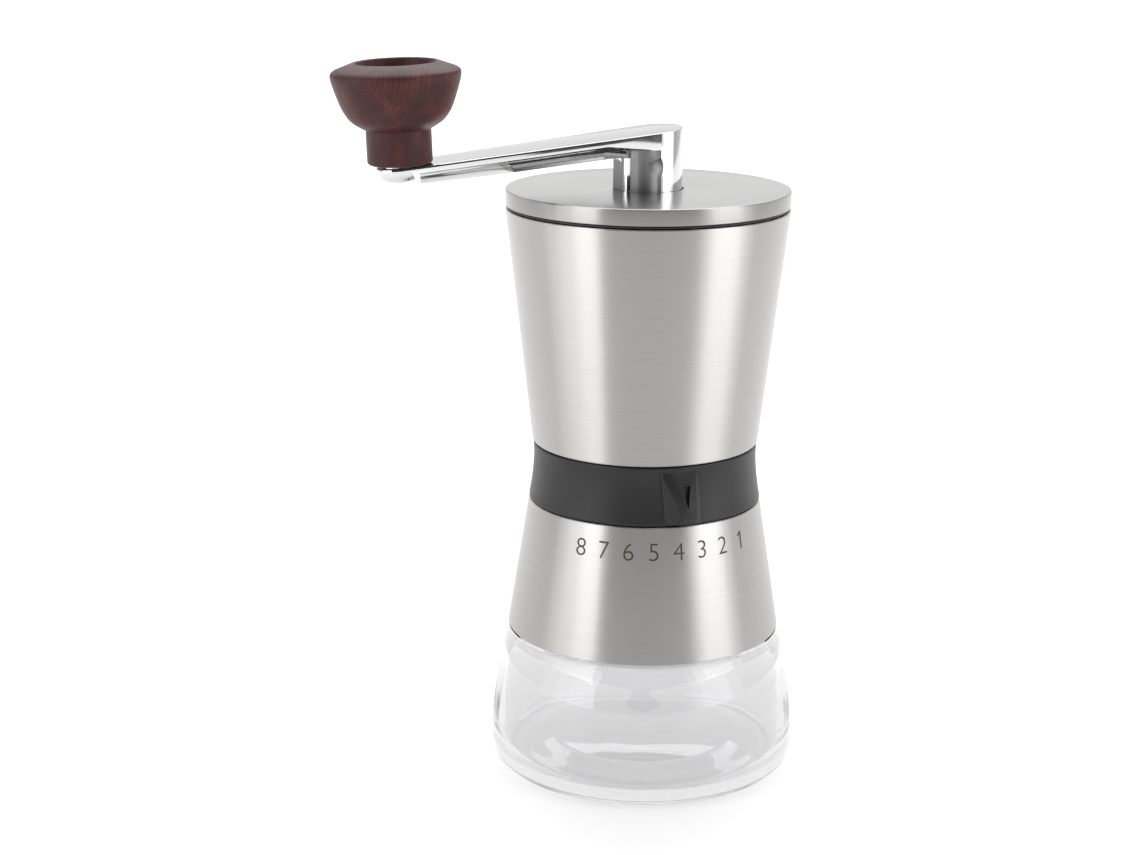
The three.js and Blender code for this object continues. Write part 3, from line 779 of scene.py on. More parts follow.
@dataclass
class Jar:
    """The pressed glass jar with its thread, and the gasket on its rim.

    Attributes:
        heel: where the rounded foot meets the wall.
        shoulder: where the wall turns in to the neck.
        neck: outside radius of the neck, without the thread.
        rim: height of the rim.
        lip: how far in from the neck's outside the two outlines meet on the rim.
        bore: inside radius of the neck.
        bore_end: height where the bore widens into the belly.
        floor_disc: radius of the raised disc in the floor.
        floor: height of the disc at its edge.
        thread_crest: radius of the thread's crest.
        thread_height: height of the middle of each ridge.
        thread_sweep: degrees that a ridge runs round the neck.
        thread_lead: climb in a full turn.
        thread_starts: number of ridges.
        thread_steps: pieces along a ridge.
        thread_fade: how quickly a ridge rises at its ends.
        gasket: inside and outside radius of the gasket.
        gasket_edge: rounding of its edges.
    """

    heel: Point = (40.2, 0.75)
    shoulder: Point = (38.05, 37.5)
    neck: float = 31.0
    rim: float = 53.0
    lip: float = 1.5
    bore: float = 28.0
    bore_end: float = 42.0
    floor_disc: float = 25.4
    floor: float = 7.2
    thread_crest: float = 32.3
    thread_height: float = 47.3
    thread_sweep: float = 144.0
    thread_lead: float = 12.0
    thread_starts: int = 2
    thread_steps: int = 36
    thread_fade: float = 14.0
    gasket: Point = (28.4, 30.8)
    gasket_edge: float = 0.5

    def outside(self) -> list[Point]:
        """The outline from the foot's flat up to the rim."""
        foot = rounded([(0, 0), (37.4, 0, 1.5), self.heel], 4)[:-1]
        wall = flowing([self.heel, (42.0, 2.9), (42.5, 6.2), (42.4, 10), (41.9, 16.5), (40.9, 23.5),
                        (39.5, 31), (38.5, 36.2), self.shoulder], 6)
        neck = rounded([self.shoulder, (37.6, 38.7, 0.8), (33.5, 39.2, 1.2), (self.neck, 40.2, 1.0),
                        (self.neck, self.rim, 0.8), (self.neck - self.lip, self.rim)], 5)[1:]
        return foot + wall + neck

    def inside(self) -> list[Point]:
        """The outline from the rim down to the middle of the floor."""
        neck = rounded([(self.neck - self.lip, self.rim), (self.bore, self.rim, 0.8),
                        (self.bore, self.bore_end)], 5)[1:-1]
        edge = (self.floor_disc + 0.4, self.floor - 0.5)
        wall = flowing([(self.bore, self.bore_end), (33.4, 36.9), (36.4, 30), (38.3, 20), (39.0, 12),
                        (38.95, 8), (38.0, 5.3), (36.2, 4.2), (33.0, 4.3), (29.0, 5.7), edge], 6)
        disc = rounded([edge, (self.floor_disc, self.floor, 0.25), (12, self.floor + 0.1, 8),
                        (0, self.floor + 0.2)], 4)[1:]
        return neck + wall + disc

    def ridge(self, start: int) -> bpy.types.Object:
        """One rounded ridge of the thread, as a rod bent along its climb.

        Args:
            start: which of the thread's starts it is.

        Returns:
            The closed ridge, whose root is sunk in the neck.
        """
        section = [(-1.1, -0.9), (1.1, -0.9), (1.1, 0.2), (0.5, 1.0), (-0.5, 1.0), (-1.1, 0.2)]
        work = Work().prism(section, -0.5, 0.5)
        sides = [e for e in work.bm.edges if abs(e.verts[0].co.z - e.verts[1].co.z) > 0.5]
        bmesh.ops.subdivide_edges(work.bm, edges=sides, cuts=self.thread_steps - 1, use_grid_fill=True)
        middle = 360 / self.thread_starts * start

        def onto_neck(corner: Vector) -> Vector:
            """Bends the rod round the neck and sinks its two ends."""
            share = corner.z
            ease = min(1.0, (0.5 - abs(share)) * self.thread_fade) if corner.y > 0 else 1
            radius = self.neck + (self.thread_crest - self.neck) * corner.y * ease
            turn = math.radians(middle + share * self.thread_sweep)
            height = self.thread_height + corner.x + share * self.thread_sweep / 360 * self.thread_lead
            return Vector((radius * math.cos(turn), radius * math.sin(turn), height))

        return work.bend(onto_neck).heal().done("ridge")

    def gasket_ring(self) -> bpy.types.Object:
        """The flat silicone ring, at the heights that the frame gives it."""
        low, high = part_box("jar_gasket")
        bottom, top = low.z / MM, high.z / MM
        (inner, outer), edge = self.gasket, self.gasket_edge
        outline = rounded_ring([
            ((inner + outer) / 2, bottom), (outer, bottom, edge), (outer, top, edge),
            (inner, top, edge), (inner, bottom, edge),
        ], 4)
        return Work().turn(outline, closed=True).done("gasket_ring")

    def build(self) -> None:
        """Builds and dresses the jar and the gasket."""
        jar = Work().turn(self.outside() + self.inside()).done("glass_jar_body", crease=40)
        for start in range(self.thread_starts):
            combine(jar, self.ridge(start), Join.UNION, crease=40)
        GLASS.dress(jar)
        fit(jar, "jar", "glass_jar")
        gasket = self.gasket_ring()
        SILICONE.dress(gasket)
        fit(gasket, "gasket", "jar_gasket")


# ---------------------------------------------------------------- steel cones


@dataclass
class SteelCone:
    """A cone of sheet steel.

    Attributes:
        bottom: radius and height of the outside at the bottom.
        top: radius and height of the outside at the top.
        skin: thickness of the sheet.
    """

    bottom: Point
    top: Point
    skin: float = 0.8

    def radius(self, height: float) -> float:
        """Outside radius at a height."""
        share = (height - self.bottom[1]) / (self.top[1] - self.bottom[1])
        return self.bottom[0] + share * (self.top[0] - self.bottom[0])


@dataclass
class DialCollar(SteelCone):
    """The lower steel cone with the dial's numbers.

    Attributes:
        outer_edge: rounding of the sheet's edges outside.
        inner_edge: rounding of its edges inside.
        first_angle: place of the 8, in degrees from -Y towards +X.
        number_step: degrees from one number to the next.
        number_height: height of the numbers' middles.
        number_size: size of the type.
        number_thinning: share of the size that its strokes lose on each side.
        number_facet: length above which an edge is divided, so that it follows the cone.
        relief: how far the etched marks stand out and in.
        one: outline of the 1.
    """

    bottom: Point = (37.8, 39.6)
    top: Point = (31.95, 76.2)
    outer_edge: float = 0.35
    inner_edge: float = 0.2
    first_angle: float = -30.2
    number_step: float = 11.69
    number_height: float = 69.8
    number_size: float = 6.9
    number_thinning: float = 0.012
    number_facet: float = 0.8
    relief: float = 0.03
    one: Sequence[Point] = ((0.27, -2.35), (0.27, 2.35), (-0.1, 2.35), (-1.15, 1.6), (-1.15, 1.0),
                            (-0.27, 1.6), (-0.27, -2.35))

    def shell(self) -> bpy.types.Object:
        """The cone of sheet steel, with its edges eased."""
        (wide, low), (narrow, high) = self.bottom, self.top
        outline = rounded_ring([
            (wide - self.skin / 2, low), (wide, low, self.outer_edge), (narrow, high, self.outer_edge),
            (narrow - self.skin, high, self.inner_edge), (wide - self.skin, low, self.inner_edge),
        ], 4)
        return Work().turn(outline, closed=True).done("dial_collar_shell")

    def drawn(self, digit: int) -> Work:
        """Draws a number flat, as a thin closed plate.

        Args:
            digit: the number; a 1 has its own outline, the others are set in type.

        Returns:
            The plate, near the origin.
        """
        if digit == 1:
            return Work().prism(self.one, -self.relief, self.relief)
        text = bpy.data.curves.new(f"number_{digit}", "FONT")
        text.body = str(digit)
        text.size = self.number_size
        text.align_x = "CENTER"
        text.align_y = "CENTER"
        text.offset = -self.number_thinning * self.number_size
        text.extrude = self.relief
        text.resolution_u = 6
        draft = bpy.data.objects.new("draft", text)
        bpy.context.scene.collection.objects.link(draft)
        graph = bpy.context.evaluated_depsgraph_get()
        mesh = bpy.data.meshes.new_from_object(draft.evaluated_get(graph))
        bpy.data.objects.remove(draft)
        work = Work()
        work.bm.from_mesh(mesh)
        bpy.data.meshes.remove(mesh)
        return work.heal()

    def number(self, digit: int, angle: float) -> bpy.types.Object:
        """One etched number, wrapped on the cone.

        Args:
            digit: the number to draw.
            angle: its place, in degrees from -Y towards +X.

        Returns:
            The thin closed plate of the number.
        """
        work = self.drawn(digit)
        across = [v.co.x for v in work.bm.verts]
        up = [v.co.y for v in work.bm.verts]
        middle = Vector((min(across) + max(across), min(up) + max(up))) / 2
        bmesh.ops.triangulate(work.bm, faces=work.bm.faces)
        long = [e for e in work.bm.edges if e.calc_length() > self.number_facet]
        bmesh.ops.subdivide_edges(work.bm, edges=long, cuts=2)

        def onto_cone(corner: Vector) -> Vector:
            """Wraps a point of the flat number round the cone."""
            height = self.number_height + corner.y - middle.y
            radius = self.radius(height) + corner.z
            turn = math.radians(angle) + (corner.x - middle.x) / self.radius(height)
            return Vector((radius * math.sin(turn), -radius * math.cos(turn), height))

        return work.bend(onto_cone).heal().done(f"dial_number_{digit}")

    def build(self) -> None:
        """Builds and dresses the collar and its numbers."""
        shell = self.shell()
        STEEL.dress(shell)
        fit(shell, "head", "dial_collar")
        for place, digit in enumerate(range(8, 0, -1)):
            number = self.number(digit, self.first_angle + self.number_step * place)
            ETCHED.dress(number)
            fit(number, "head")


@dataclass
class Hopper(SteelCone):
    """The upper steel cone, turned in at the bottom; its plastic liner keeps the CAD mesh.

    Attributes:
        throat: radius to which the flange at the foot turns in.
        foot_edge: rounding where it turns in.
        rim_edge: rounding of the rim.
    """

    bottom: Point = (31.02, 92.6)
    top: Point = (38.43, 156.7)
    throat: float = 29.0
    foot_edge: float = 0.7
    rim_edge: float = 0.3

    def shell(self) -> bpy.types.Object:
        """The cone and the flange at its foot."""
        low, high = self.bottom[1], self.top[1]
        outline = rounded_ring([
            (self.throat, low), (self.radius(low), low, self.foot_edge),
            (self.radius(high), high, self.rim_edge), (self.radius(high) - self.skin, high, self.rim_edge),
            (self.radius(low + 1) - self.skin, low + self.skin), (self.throat, low + self.skin),
        ])
        return Work().turn(outline, closed=True).done("hopper_cone")

    def build(self) -> None:
        """Builds and dresses the shell."""
        shell = self.shell()
        STEEL.dress(shell)
        fit(shell, "head", "hopper_shell")


# ---------------------------------------------------------------- adjusting ring


@dataclass
class AdjustRing:
    """The black ring with its grips, one of them the pointer.

    Attributes:
        bottom: height of the underside.
        top: height of the top.
        bore: radius of the bore.
        pointer: place of the pointer, in degrees from -Y towards +X.
        grips: number of grips.
        grip_root: radius to which a grip reaches into the band.
        grip_edge: rounding of a grip's edges.
        mark_reach: radius to which the triangle's cutter reaches.
    """

    bottom: float = 76.5
    top: float = 92.3
    bore: float = 28.5
    pointer: float = 21.5
    grips: int = 2
    grip_root: float = 29.5
    grip_edge: float = 0.4
    mark_reach: float = 36.0

    def band(self) -> bpy.types.Object:
        """The waisted band."""
        wall = flowing([(31.9, self.bottom + 0.6), (31.35, 80.3), (30.85, 84.5), (30.6, 88.5),
                        (30.75, self.top - 0.4)], 5)
        outline = [(self.bore, self.bottom), (31.5, self.bottom), (31.75, self.bottom + 0.15), *wall,
                   (30.6, self.top - 0.1), (30.3, self.top), (self.bore, self.top)]
        return Work().turn(outline, closed=True).done("adjusting_ring")

    def corner(self, radius: float, angle: float, height: float) -> Vector:
        """A point on a grip, its angle in degrees from the pointer."""
        turn = math.radians(self.pointer + angle)
        return Vector((radius * math.sin(turn), -radius * math.cos(turn), height))

    def grip(self) -> bpy.types.Object:
        """One grip: a wedge that stands out towards the bottom, with a slanting left face."""
        low, high = self.bottom + 0.2, self.top - 1.2
        top = [(radius, angle, high) for radius in (30.95, self.grip_root) for angle in (-13.5, 5.3)]
        nose = [(33.9, -3.3, 79.3), (33.8, 3.4, 79.0), (32.6, -3.8, low), (32.5, 3.6, low)]
        foot = [(radius, angle, low) for radius in (31.85, self.grip_root) for angle in (-11.3, 8.5)]
        work = Work().hull([self.corner(*spot) for spot in top + nose + foot])
        return work.soften(self.grip_edge, 4, 8).done("grip")

    def mark(self) -> bpy.types.Object:
        """The cutter of the pointer's triangle."""
        inner = [(30.7, -3.0, 87.2), (30.7, 1.2, 87.2), (32.0, -0.7, 81.4)]
        outer = [(self.mark_reach, angle, height) for _, angle, height in inner]
        return Work().hull([self.corner(*spot) for spot in inner + outer]).done("mark")

    def build(self) -> None:
        """Builds and dresses the ring."""
        ring = self.band()
        for i in range(self.grips):
            grip = self.grip()
            grip.data.transform(Matrix.Rotation(FULL_TURN / self.grips * i, 4, "Z"))
            combine(ring, grip, Join.UNION, crease=24)
        combine(ring, self.mark(), Join.DIFFERENCE, crease=24)
        BLACK.dress(ring)
        fit(ring, "ring", "adjust_ring")


# ---------------------------------------------------------------- lid


@dataclass
class Lid:
    """The lid's steel cap; the black insert under it keeps the CAD mesh.

    Attributes:
        radius: outside radius.
        bottom: height of the rim's foot.
        top: height of the flat top.
        hole: radius of the hole for the crank's hub.
        hole_edge: rounding of the hole's edge.
        rim_foot: rounding of the rim at its foot.
        rim_edge: rounding of the rim at the top.
        sheet: thickness of the steel.
        seam: radius under the top at which the outline starts.
    """

    radius: float = 38.42
    bottom: float = 157.7
    top: float = 162.0
    hole: float = 9.55
    hole_edge: float = 0.15
    rim_foot: float = 0.2
    rim_edge: float = 0.45
    sheet: float = 1.2
    seam: float = 20.0

    def cap(self) -> bpy.types.Object:
        """The pressed cap, with a crisp eased edge."""
        inner, under = self.radius - self.sheet, self.top - self.sheet
        outline = rounded_ring([
            (self.seam, under), (inner, under), (inner, self.bottom),
            (self.radius, self.bottom, self.rim_foot), (self.radius, self.top, self.rim_edge),
            (self.hole, self.top, self.hole_edge), (self.hole, under),
        ])
        return Work().turn(outline, closed=True).done("lid_cap", crease=25)

    def build(self) -> None:
        """Builds and dresses the cap: its flat top is satin, its rim brushed round."""
        cap = self.cap()
        RIM.dress(cap)
        cap.data.materials.append(LID_TOP.material())
        for face in cap.data.polygons:
            if face.normal.z > 0.9:
                face.material_index = 1
        fit(cap, "lid", "lid_cover")


# ---------------------------------------------------------------- crank


@dataclass
class Crank:
    """The chrome crank, in its own frame: +X along the arm, Z on the hub's axis.

    Attributes:
        angle: degrees from +X to the arm at rest.
        length: distance from the hub's axis to the tip's.
        hub: radius of the hub.
        tip: radius of the tip.
        hub_bottom: height of the hub's underside.
        hub_top: height of the sloping top on the hub's axis.
        slope: fall of the top towards the tip, in degrees.
        depth: depth of the arm where it leaves the hub.
        band: height of the arm's upright edge above a cove.
        cove: radius of the cove along each side.
        bite: how far a cove cuts in from the side.
        cove_start: distance along the arm at which a cove ends beside the hub.
        cove_bend: distance at which it starts to dip.
        cove_end: distance at which it runs out near the tip.
        cove_drop: how far it dips.
        scoop: radius of the upright hollow beside the rib.
        scoop_top: depth of the hollow's ceiling below the hub's top.
        rib: half the width of the rib between the hollows.
        plate: depth of the arm's plate where it runs into the tip.
        edge: rounding of the top's edge.
        tilt: lean of the knob's axis, in degrees.
        rise: height of the knob's foot above the sloping top.
        socket: radius to the corners of the six-sided socket for the shaft.
        socket_top: height of the socket's end.
        seat: radius of the seat for the knob's washer.
        seat_depth: depth of the seat below the knob's foot.
    """

    angle: float = 204.0
    length: float = 69.5
    hub: float = 9.1
    tip: float = 6.2
    hub_bottom: float = 152.0
    hub_top: float = 177.6
    slope: float = 5.3
    depth: float = 5.5
    band: float = 1.4
    cove: float = 5.2
    bite: float = 3.6
    cove_start: float = 5.6
    cove_bend: float = 16.0
    cove_end: float = 66.8
    cove_drop: float = 2.0
    scoop: float = 5.3
    scoop_top: float = 4.5
    rib: float = 4.87
    plate: float = 0.8
    edge: float = 0.28
    tilt: float = 2.2
    rise: float = 0.5
    socket: float = 3.6
    socket_top: float = 171.3
    seat: float = 4.9
    seat_depth: float = 1.4

    def top_height(self, x: float) -> float:
        """Height of the sloping top at a distance from the hub's axis."""
        return self.hub_top - x * math.tan(math.radians(self.slope))

    def onto_top(self, x: float = 0) -> Matrix:
        """Moves a piece made level at height 0 onto the sloping top, at a distance along the arm."""
        place = Matrix.Translation((x, 0, self.top_height(x)))
        return place @ Matrix.Rotation(math.radians(self.slope), 4, "Y")

    def lean(self) -> Matrix:
        """Stands a piece made upright at the origin in the knob's leaning place on the arm."""
        base = Matrix.Translation((self.length, 0, self.top_height(self.length) + self.rise))
        return base @ Matrix.Rotation(math.radians(self.tilt), 4, "Y")

    def below(self, x: float, drop: float, *fillet: float) -> tuple[float, ...]:
        """A corner of the side outline, by how far it lies below the sloping top."""
        return (x, self.top_height(x) - drop, *fillet)

    def plan(self) -> list[Point]:
        """The outline from above: two circles and their tangents."""
        lean = math.acos((self.hub - self.tip) / self.length)
        points = []
        for middle, radius, start, sweep, steps in (
            (0, self.hub, lean, FULL_TURN - 2 * lean, 96),
            (self.length, self.tip, -lean, 2 * lean, 64),
        ):
            for step in range(steps + 1):
                turn = start + sweep * step / steps
                points.append((middle + radius * math.cos(turn), radius * math.sin(turn)))
        return points

    def blank(self) -> bpy.types.Object:
        """The whole outline, from the hub's underside up to the sloping top with its eased edge."""
        work = Work().prism(self.plan(), self.hub_bottom, self.hub_top)
        upper = [v for v in work.bm.verts if v.co.z > self.hub_bottom + CLEAR]
        for vert in upper:
            vert.co.z = self.top_height(vert.co.x)
        rim = [e for e in work.bm.edges if e.verts[0] in upper and e.verts[1] in upper]
        bmesh.ops.bevel(work.bm, geom=rim, offset=self.edge, segments=3, profile=0.5,
                        affect="EDGES", material=-1)
        return work.done("crank_body", 20)

    def slab(self) -> bpy.types.Object:
        """The side outline given a width: it trims the arm's underside."""
        back, front, end = -self.hub - CLEAR, self.hub + 0.02, self.length + self.tip + CLEAR
        side = rounded([
            (back, self.hub_bottom - CLEAR), (front, self.hub_bottom - CLEAR),
            self.below(front, self.depth, 2.0), self.below(46, 5.4, 60), self.below(66.4, 4.9, 2.5),
            self.below(68.8, self.plate), self.below(end, self.plate),
            (end, self.hub_top + CLEAR), (back, self.hub_top + 2 * CLEAR),
        ], 12)
        work = Work().prism(side, back, -back)
        return work.move(Matrix.Rotation(math.pi / 2, 4, "X")).done("slab")

    def bowl(self) -> bpy.types.Object:
        """The rounded underside of the tip."""
        section = flowing([(2.2, -4.35), (4.5, -3.6), (5.75, -2.2), (6.19, -0.75)], 6)
        work = Work().turn([(0, -4.4), *section, (6.0, -0.4), (0, -0.4)])
        return work.move(self.onto_top(self.length)).done("bowl", 60)

    def lateral(self, x: float) -> float:
        """Distance of a cove's centre line from the arm's middle."""
        return self.hub + self.cove - self.bite - x * (self.hub - self.tip) / self.length

    def cove_cutters(self, side: int) -> list[bpy.types.Object]:
        """The round hollow along one side of the arm, which dips as it nears the hub and ends in a ball.

        Args:
            side: 1 or -1.

        Returns:
            The rods and balls that cut it.
        """
        level = -self.band - self.cove
        course = ((self.cove_end, level), (self.cove_bend, level),
                  (self.cove_start, level - self.cove_drop))
        spots = [Vector((x, side * self.lateral(x), z)) for x, z in course]
        cutters = []
        for far, near in zip(spots, spots[1:]):
            rod = Work().rod(self.cove, 0, (far - near).length, 2 * SMALL_STEPS)
            aim = (far - near).to_track_quat("Z", "Y").to_matrix().to_4x4()
            cutters.append(rod.move(self.onto_top() @ Matrix.Translation(near) @ aim))
        for spot in spots[1:]:
            ball = Work()
            bmesh.ops.create_uvsphere(ball.bm, u_segments=96, v_segments=64, radius=self.cove - 0.005)
            cutters.append(ball.move(self.onto_top() @ Matrix.Translation(spot)))
        return [cutter.done("cove") for cutter in cutters]

    def scoop_cutters(self, side: int) -> list[bpy.types.Object]:
        """The upright hollow where the cove turns down, and the flare that rounds the rib's corner.

        Args:
            side: 1 or -1.

        Returns:
            The rod and the flare that cut it.
        """
        base = self.hub_bottom - CLEAR
        centre = self.rib + self.scoop
        hollow = Work().rod(self.scoop, base, self.hub_top - self.scoop_top, 160)
        hollow.move(Matrix.Translation((self.cove_start, side * centre, 0)))
        back, front, foot = self.cove_start - 0.4, 14, self.rib - 2.5
        edge = flowing([(back, self.rib), (7.0, self.rib), (7.55, self.rib - 0.08), (8.1, self.rib - 0.4),
                        (8.6, self.rib - 1.0), (9.3, foot)], 5)
        outline = [(x, side * y) for x, y in [*edge, (front, foot), (front, centre), (back, centre)]]
        flare = Work().prism(outline, base, self.top_height(self.hub) - self.depth - 0.4)
        return [hollow.done("scoop"), flare.done("flare")]

    def is_satin(self, spot: Vector) -> bool:
        """Whether the metal is satin and darkened as painted shade, as it is in the scoops and on the hub's
        front under the arm.

        Args:
            spot: a point on the crank before it is turned to its angle.

        Returns:
            True where the finish is satin with painted shade, False where it is polished.
        """
        off_rim = math.hypot(spot.x, spot.y) < self.hub - 0.12
        beside_rib = self.rib - 0.3 < abs(spot.y) and -0.5 < spot.x < self.cove_start + 1.9
        in_scoop = off_rim and beside_rib and spot.z < self.hub_top - self.scoop_top + 0.1
        in_front = abs(spot.y) < self.rib - 1.3 and 0 < spot.x < self.hub + 0.1
        under_arm = spot.z < self.top_height(self.hub) - self.depth - 0.5
        return in_scoop or (in_front and under_arm and not off_rim)

    def build(self) -> None:
        """Builds and dresses the crank."""
        arm = self.blank()
        combine(arm, self.slab(), Join.INTERSECT, 20)
        combine(arm, self.bowl(), Join.UNION, 20)
        for side in (1, -1):
            for cutter in self.cove_cutters(side) + self.scoop_cutters(side):
                combine(arm, cutter, Join.DIFFERENCE, 24)
        socket = Work().rod(self.socket, self.hub_bottom - CLEAR, self.socket_top, 6).done("socket")
        combine(arm, socket, Join.DIFFERENCE, 24)
        seat = Work().rod(self.seat, -self.seat_depth, 2 * CLEAR).move(self.lean()).done("seat")
        combine(arm, seat, Join.DIFFERENCE, 24)
        CHROME.dress(arm)
        # The scoops and the hub's front under the arm wear the darker satin chrome: painted shade.
        arm.data.materials.append(SHADED_SATIN_CHROME.material())
        for face in arm.data.polygons:
            face.material_index = int(self.is_satin(face.center / MM))
        arm.data.transform(Matrix.Rotation(math.radians(self.angle), 4, "Z"))
        fit(arm, "crank", "crank_arm")


# ---------------------------------------------------------------- knob


@dataclass
class Knob:
    """The turned wooden knob, made upright and leaned into place.

    Attributes:
        crank: the crank that carries it.
        bore: radius of the bore for the pin.
        neck: radius of the neck.
        shoulder: where the neck spreads into the cup.
        brim: where the cup turns in to the sloping top.
        well: radius of the well for the pin's head.
        pin_seat: height of the well's floor.
    """

    crank: Crank
    bore: float = 4.0
    neck: float = 8.4
    shoulder: Point = (9.4, 9.4)
    brim: Point = (15.6, 24.2)
    well: float = 5.0
    pin_seat: float = 17.7

    def outline(self) -> list[Point]:
        """The knob's section, from the bore round to the dish."""
        neck = rounded([(self.bore, 0), (self.neck, 0, 0.9), (self.neck, 9.0, 0.5), (9.4, 9.3)], 5)[:-1]
        cup = flowing([self.shoulder, (12.0, 11.2), (13.9, 13.9), (15.2, 17.2), (16.3, 20.6), (16.7, 22.5),
                       (16.5, 23.5), self.brim], 5)
        top = rounded([self.brim, (10.5, 26.1, 0.8), (9.2, 23.4, 3), (7.5, 20.6, 2), (self.well, 20),
                       (self.well, self.pin_seat), (self.bore, self.pin_seat)], 5)[1:]
        return neck + cup + top

    def build(self) -> None:
        """Builds and dresses the knob."""
        swing = Matrix.Rotation(math.radians(self.crank.angle), 4, "Z")
        work = Work().turn(self.outline(), closed=True).move(swing @ self.crank.lean())
        knob = work.done("knob_body", crease=45)
        WOOD.dress(knob)
        fit(knob, "knob", "wooden_knob")


# ---------------------------------------------------------------- inner parts


@dataclass
class InnerParts:
    """The CAD parts that keep their own meshes, by finish."""

    black: Sequence[str] = ("grinder_frame", "burr_carrier", "bearing_spider", "hopper_liner", "lid_insert")
    fittings: Sequence[str] = ("burr_clamp_ring", "burr_washer", "burr_nut", "drive_shaft", "wave_spring",
                               "shaft_clip", "frame_screw_1", "frame_screw_2", "frame_screw_3", "knob_pin")
    ceramic: Sequence[str] = ("ring_burr", "cone_burr")
    bronze: Sequence[str] = ("thrust_washer", "lower_bush", "upper_bush", "knob_sleeve")
    chrome: Sequence[str] = ("knob_washer",)

    def build(self) -> None:
        """Dresses the CAD nodes."""
        groups = ((BLACK, self.black), (FITTING, self.fittings), (CERAMIC, self.ceramic),
                  (BRONZE, self.bronze), (CHROME, self.chrome))
        for finish, names in groups:
            for name in names:
                finish.dress(frame["nodes"][name])


# ---------------------------------------------------------------- studio


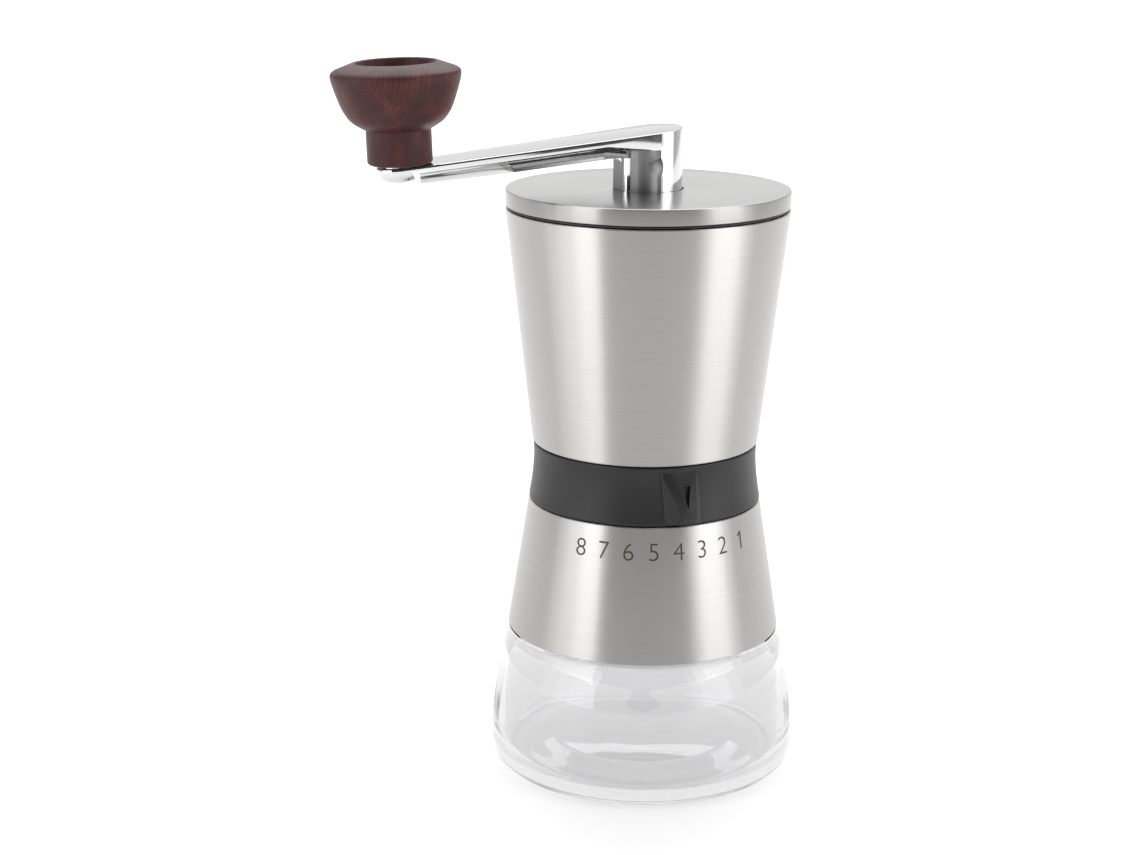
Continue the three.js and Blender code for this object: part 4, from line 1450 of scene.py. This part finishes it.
@dataclass
class Studio:
    """The pale table, the soft lights and the camera.

    Attributes:
        distance: distance of the camera from the grinder's axis, in metres.
        height: height of the camera, in metres.
        yaw: degrees that it is turned to the left.
        pitch: degrees that it looks down.
        roll: degrees that it is rolled.
        lens: focal length in millimetres.
        floor_size: width of the table, in metres.
        floor_glow: glow of the table at the grinder.
        floor_tone: tone of the table under light.
        glow_start: share of the reach at which the glow starts to rise.
        glow_reach: distance at which the glow is full, in millimetres.
        room: brightness of the surroundings, from the front (0) to the back (1).
    """

    distance: float = 0.5845
    height: float = 0.2485
    yaw: float = 2.03
    pitch: float = 14.70
    roll: float = 0.28
    lens: float = 69.06
    floor_size: float = 14.0
    floor_glow: float = 0.6
    floor_tone: float = 0.38
    glow_start: float = 0.15
    glow_reach: float = 600.0
    room: Sequence[Point] = ((0.0, 0.05), (0.3, 0.08), (0.5, 0.55), (0.75, 0.75), (1.0, 0.95))

    def camera(self) -> None:
        """Places the camera and makes it the scene's."""
        data = bpy.data.cameras.new("camera")
        data.lens = self.lens
        data.sensor_width = 36
        data.clip_end = 50
        camera = bpy.data.objects.new("camera", data)
        bpy.context.scene.collection.objects.link(camera)
        turn = (Matrix.Rotation(math.radians(self.yaw), 4, "Z")
                @ Matrix.Rotation(math.radians(90 - self.pitch), 4, "X")
                @ Matrix.Rotation(math.radians(self.roll), 4, "Z"))
        camera.matrix_world = Matrix.Translation((0, -self.distance, self.height)) @ turn
        bpy.context.scene.camera = camera

    def floor(self) -> None:
        """Lays the pale table, which glows as a light table does, brightest away from the grinder."""
        bm = bmesh.new()
        bmesh.ops.create_grid(bm, x_segments=1, y_segments=1, size=self.floor_size / 2)
        mesh = bpy.data.meshes.new("table")
        bm.to_mesh(mesh)
        bm.free()
        table = bpy.data.objects.new("table", mesh)
        bpy.context.scene.collection.objects.link(table)
        recipe = Recipe(bpy.data.materials.new("pale_table"))
        reach = recipe.add("ShaderNodeVectorMath", {"operation": "LENGTH"}, {0: recipe.place()}, "Value")
        stops = [(self.glow_start, (self.floor_glow,) * 3), (1, (1, 1, 1))]
        table.data.materials.append(recipe.surface(
            Base_Color=(self.floor_tone,) * 3 + (1,),
            Roughness=0.9,
            Specular_IOR_Level=0.1,
            Emission_Color=recipe.ramp(reach * (1 / self.glow_reach), stops),
            Emission_Strength=1.0,
        ))

    def lamp(self, name: str, azimuth: float, reach: float, height: float, size: Point, radiance: float,
             aim: float = 0.8) -> None:
        """Hangs a soft box.

        Args:
            name: the lamp's name.
            azimuth: degrees from -Y towards +X.
            reach: distance from the grinder's axis, in metres.
            height: height of its middle, in metres.
            size: width and height, in metres.
            radiance: brightness of its face.
            aim: height on the axis that it faces, in metres.
        """
        data = bpy.data.lights.new(name, "AREA")
        data.shape = "RECTANGLE"
        data.size, data.size_y = size
        data.energy = radiance * math.pi * size[0] * size[1]
        lamp = bpy.data.objects.new(name, data)
        bpy.context.scene.collection.objects.link(lamp)
        turn = math.radians(azimuth)
        spot = Vector((reach * math.sin(turn), -reach * math.cos(turn), height))
        facing = (Vector((0, 0, aim)) - spot).to_track_quat("-Z", "Y")
        lamp.matrix_world = Matrix.Translation(spot) @ facing.to_matrix().to_4x4()

    def world(self) -> None:
        """A dim room in front of the grinder and a pale wall behind it."""
        world = bpy.data.worlds.new("room")
        bpy.context.scene.world = world
        recipe = Recipe(world)
        way = recipe.add("ShaderNodeTexCoord", {}, {}, "Generated")
        back = recipe.add("ShaderNodeSeparateXYZ", {}, {0: way}, "Y")
        stops = [(place, (glow,) * 3) for place, glow in self.room]
        glow = recipe.node("ShaderNodeBackground", {}, {"Color": recipe.ramp(back.over(-1, 1), stops)})
        recipe.node("ShaderNodeOutputWorld", {}, {"Surface": glow.outputs[0]})

    def build(self) -> None:
        """Sets up the whole studio."""
        self.camera()
        self.floor()
        self.world()
        self.lamp("left_wide_box", -63.5, 1.30, 0.8, (1.15, 1.6), 1.1)
        self.lamp("left_middle_box", -57.5, 1.29, 0.8, (0.85, 1.6), 1.0)
        self.lamp("left_near_box", -49.5, 1.28, 0.8, (0.48, 1.6), 1.15)
        self.lamp("right_wide_box", 67, 1.30, 0.8, (1.10, 1.6), 1.2)
        self.lamp("right_near_box", 66, 1.28, 0.8, (0.65, 1.6), 1.85)
        self.lamp("top_soft_box", 180, 0.15, 1.3, (1.4, 1.4), 0.9, 0.1)
        self.lamp("back_panel", 180, 4.0, 5.0, (6.0, 5.0), 3.0, 0.0)
        bpy.context.scene.view_settings.view_transform = "Standard"


def main() -> None:
    """Builds the studio and every sub-assembly."""
    logging.basicConfig(level=logging.INFO, format="%(name)s: %(message)s")
    Studio().build()
    Jar().build()
    DialCollar().build()
    AdjustRing().build()
    Hopper().build()
    Lid().build()
    crank = Crank()
    crank.build()
    Knob(crank).build()
    InnerParts().build()


if __name__ == "__main__":
    main()
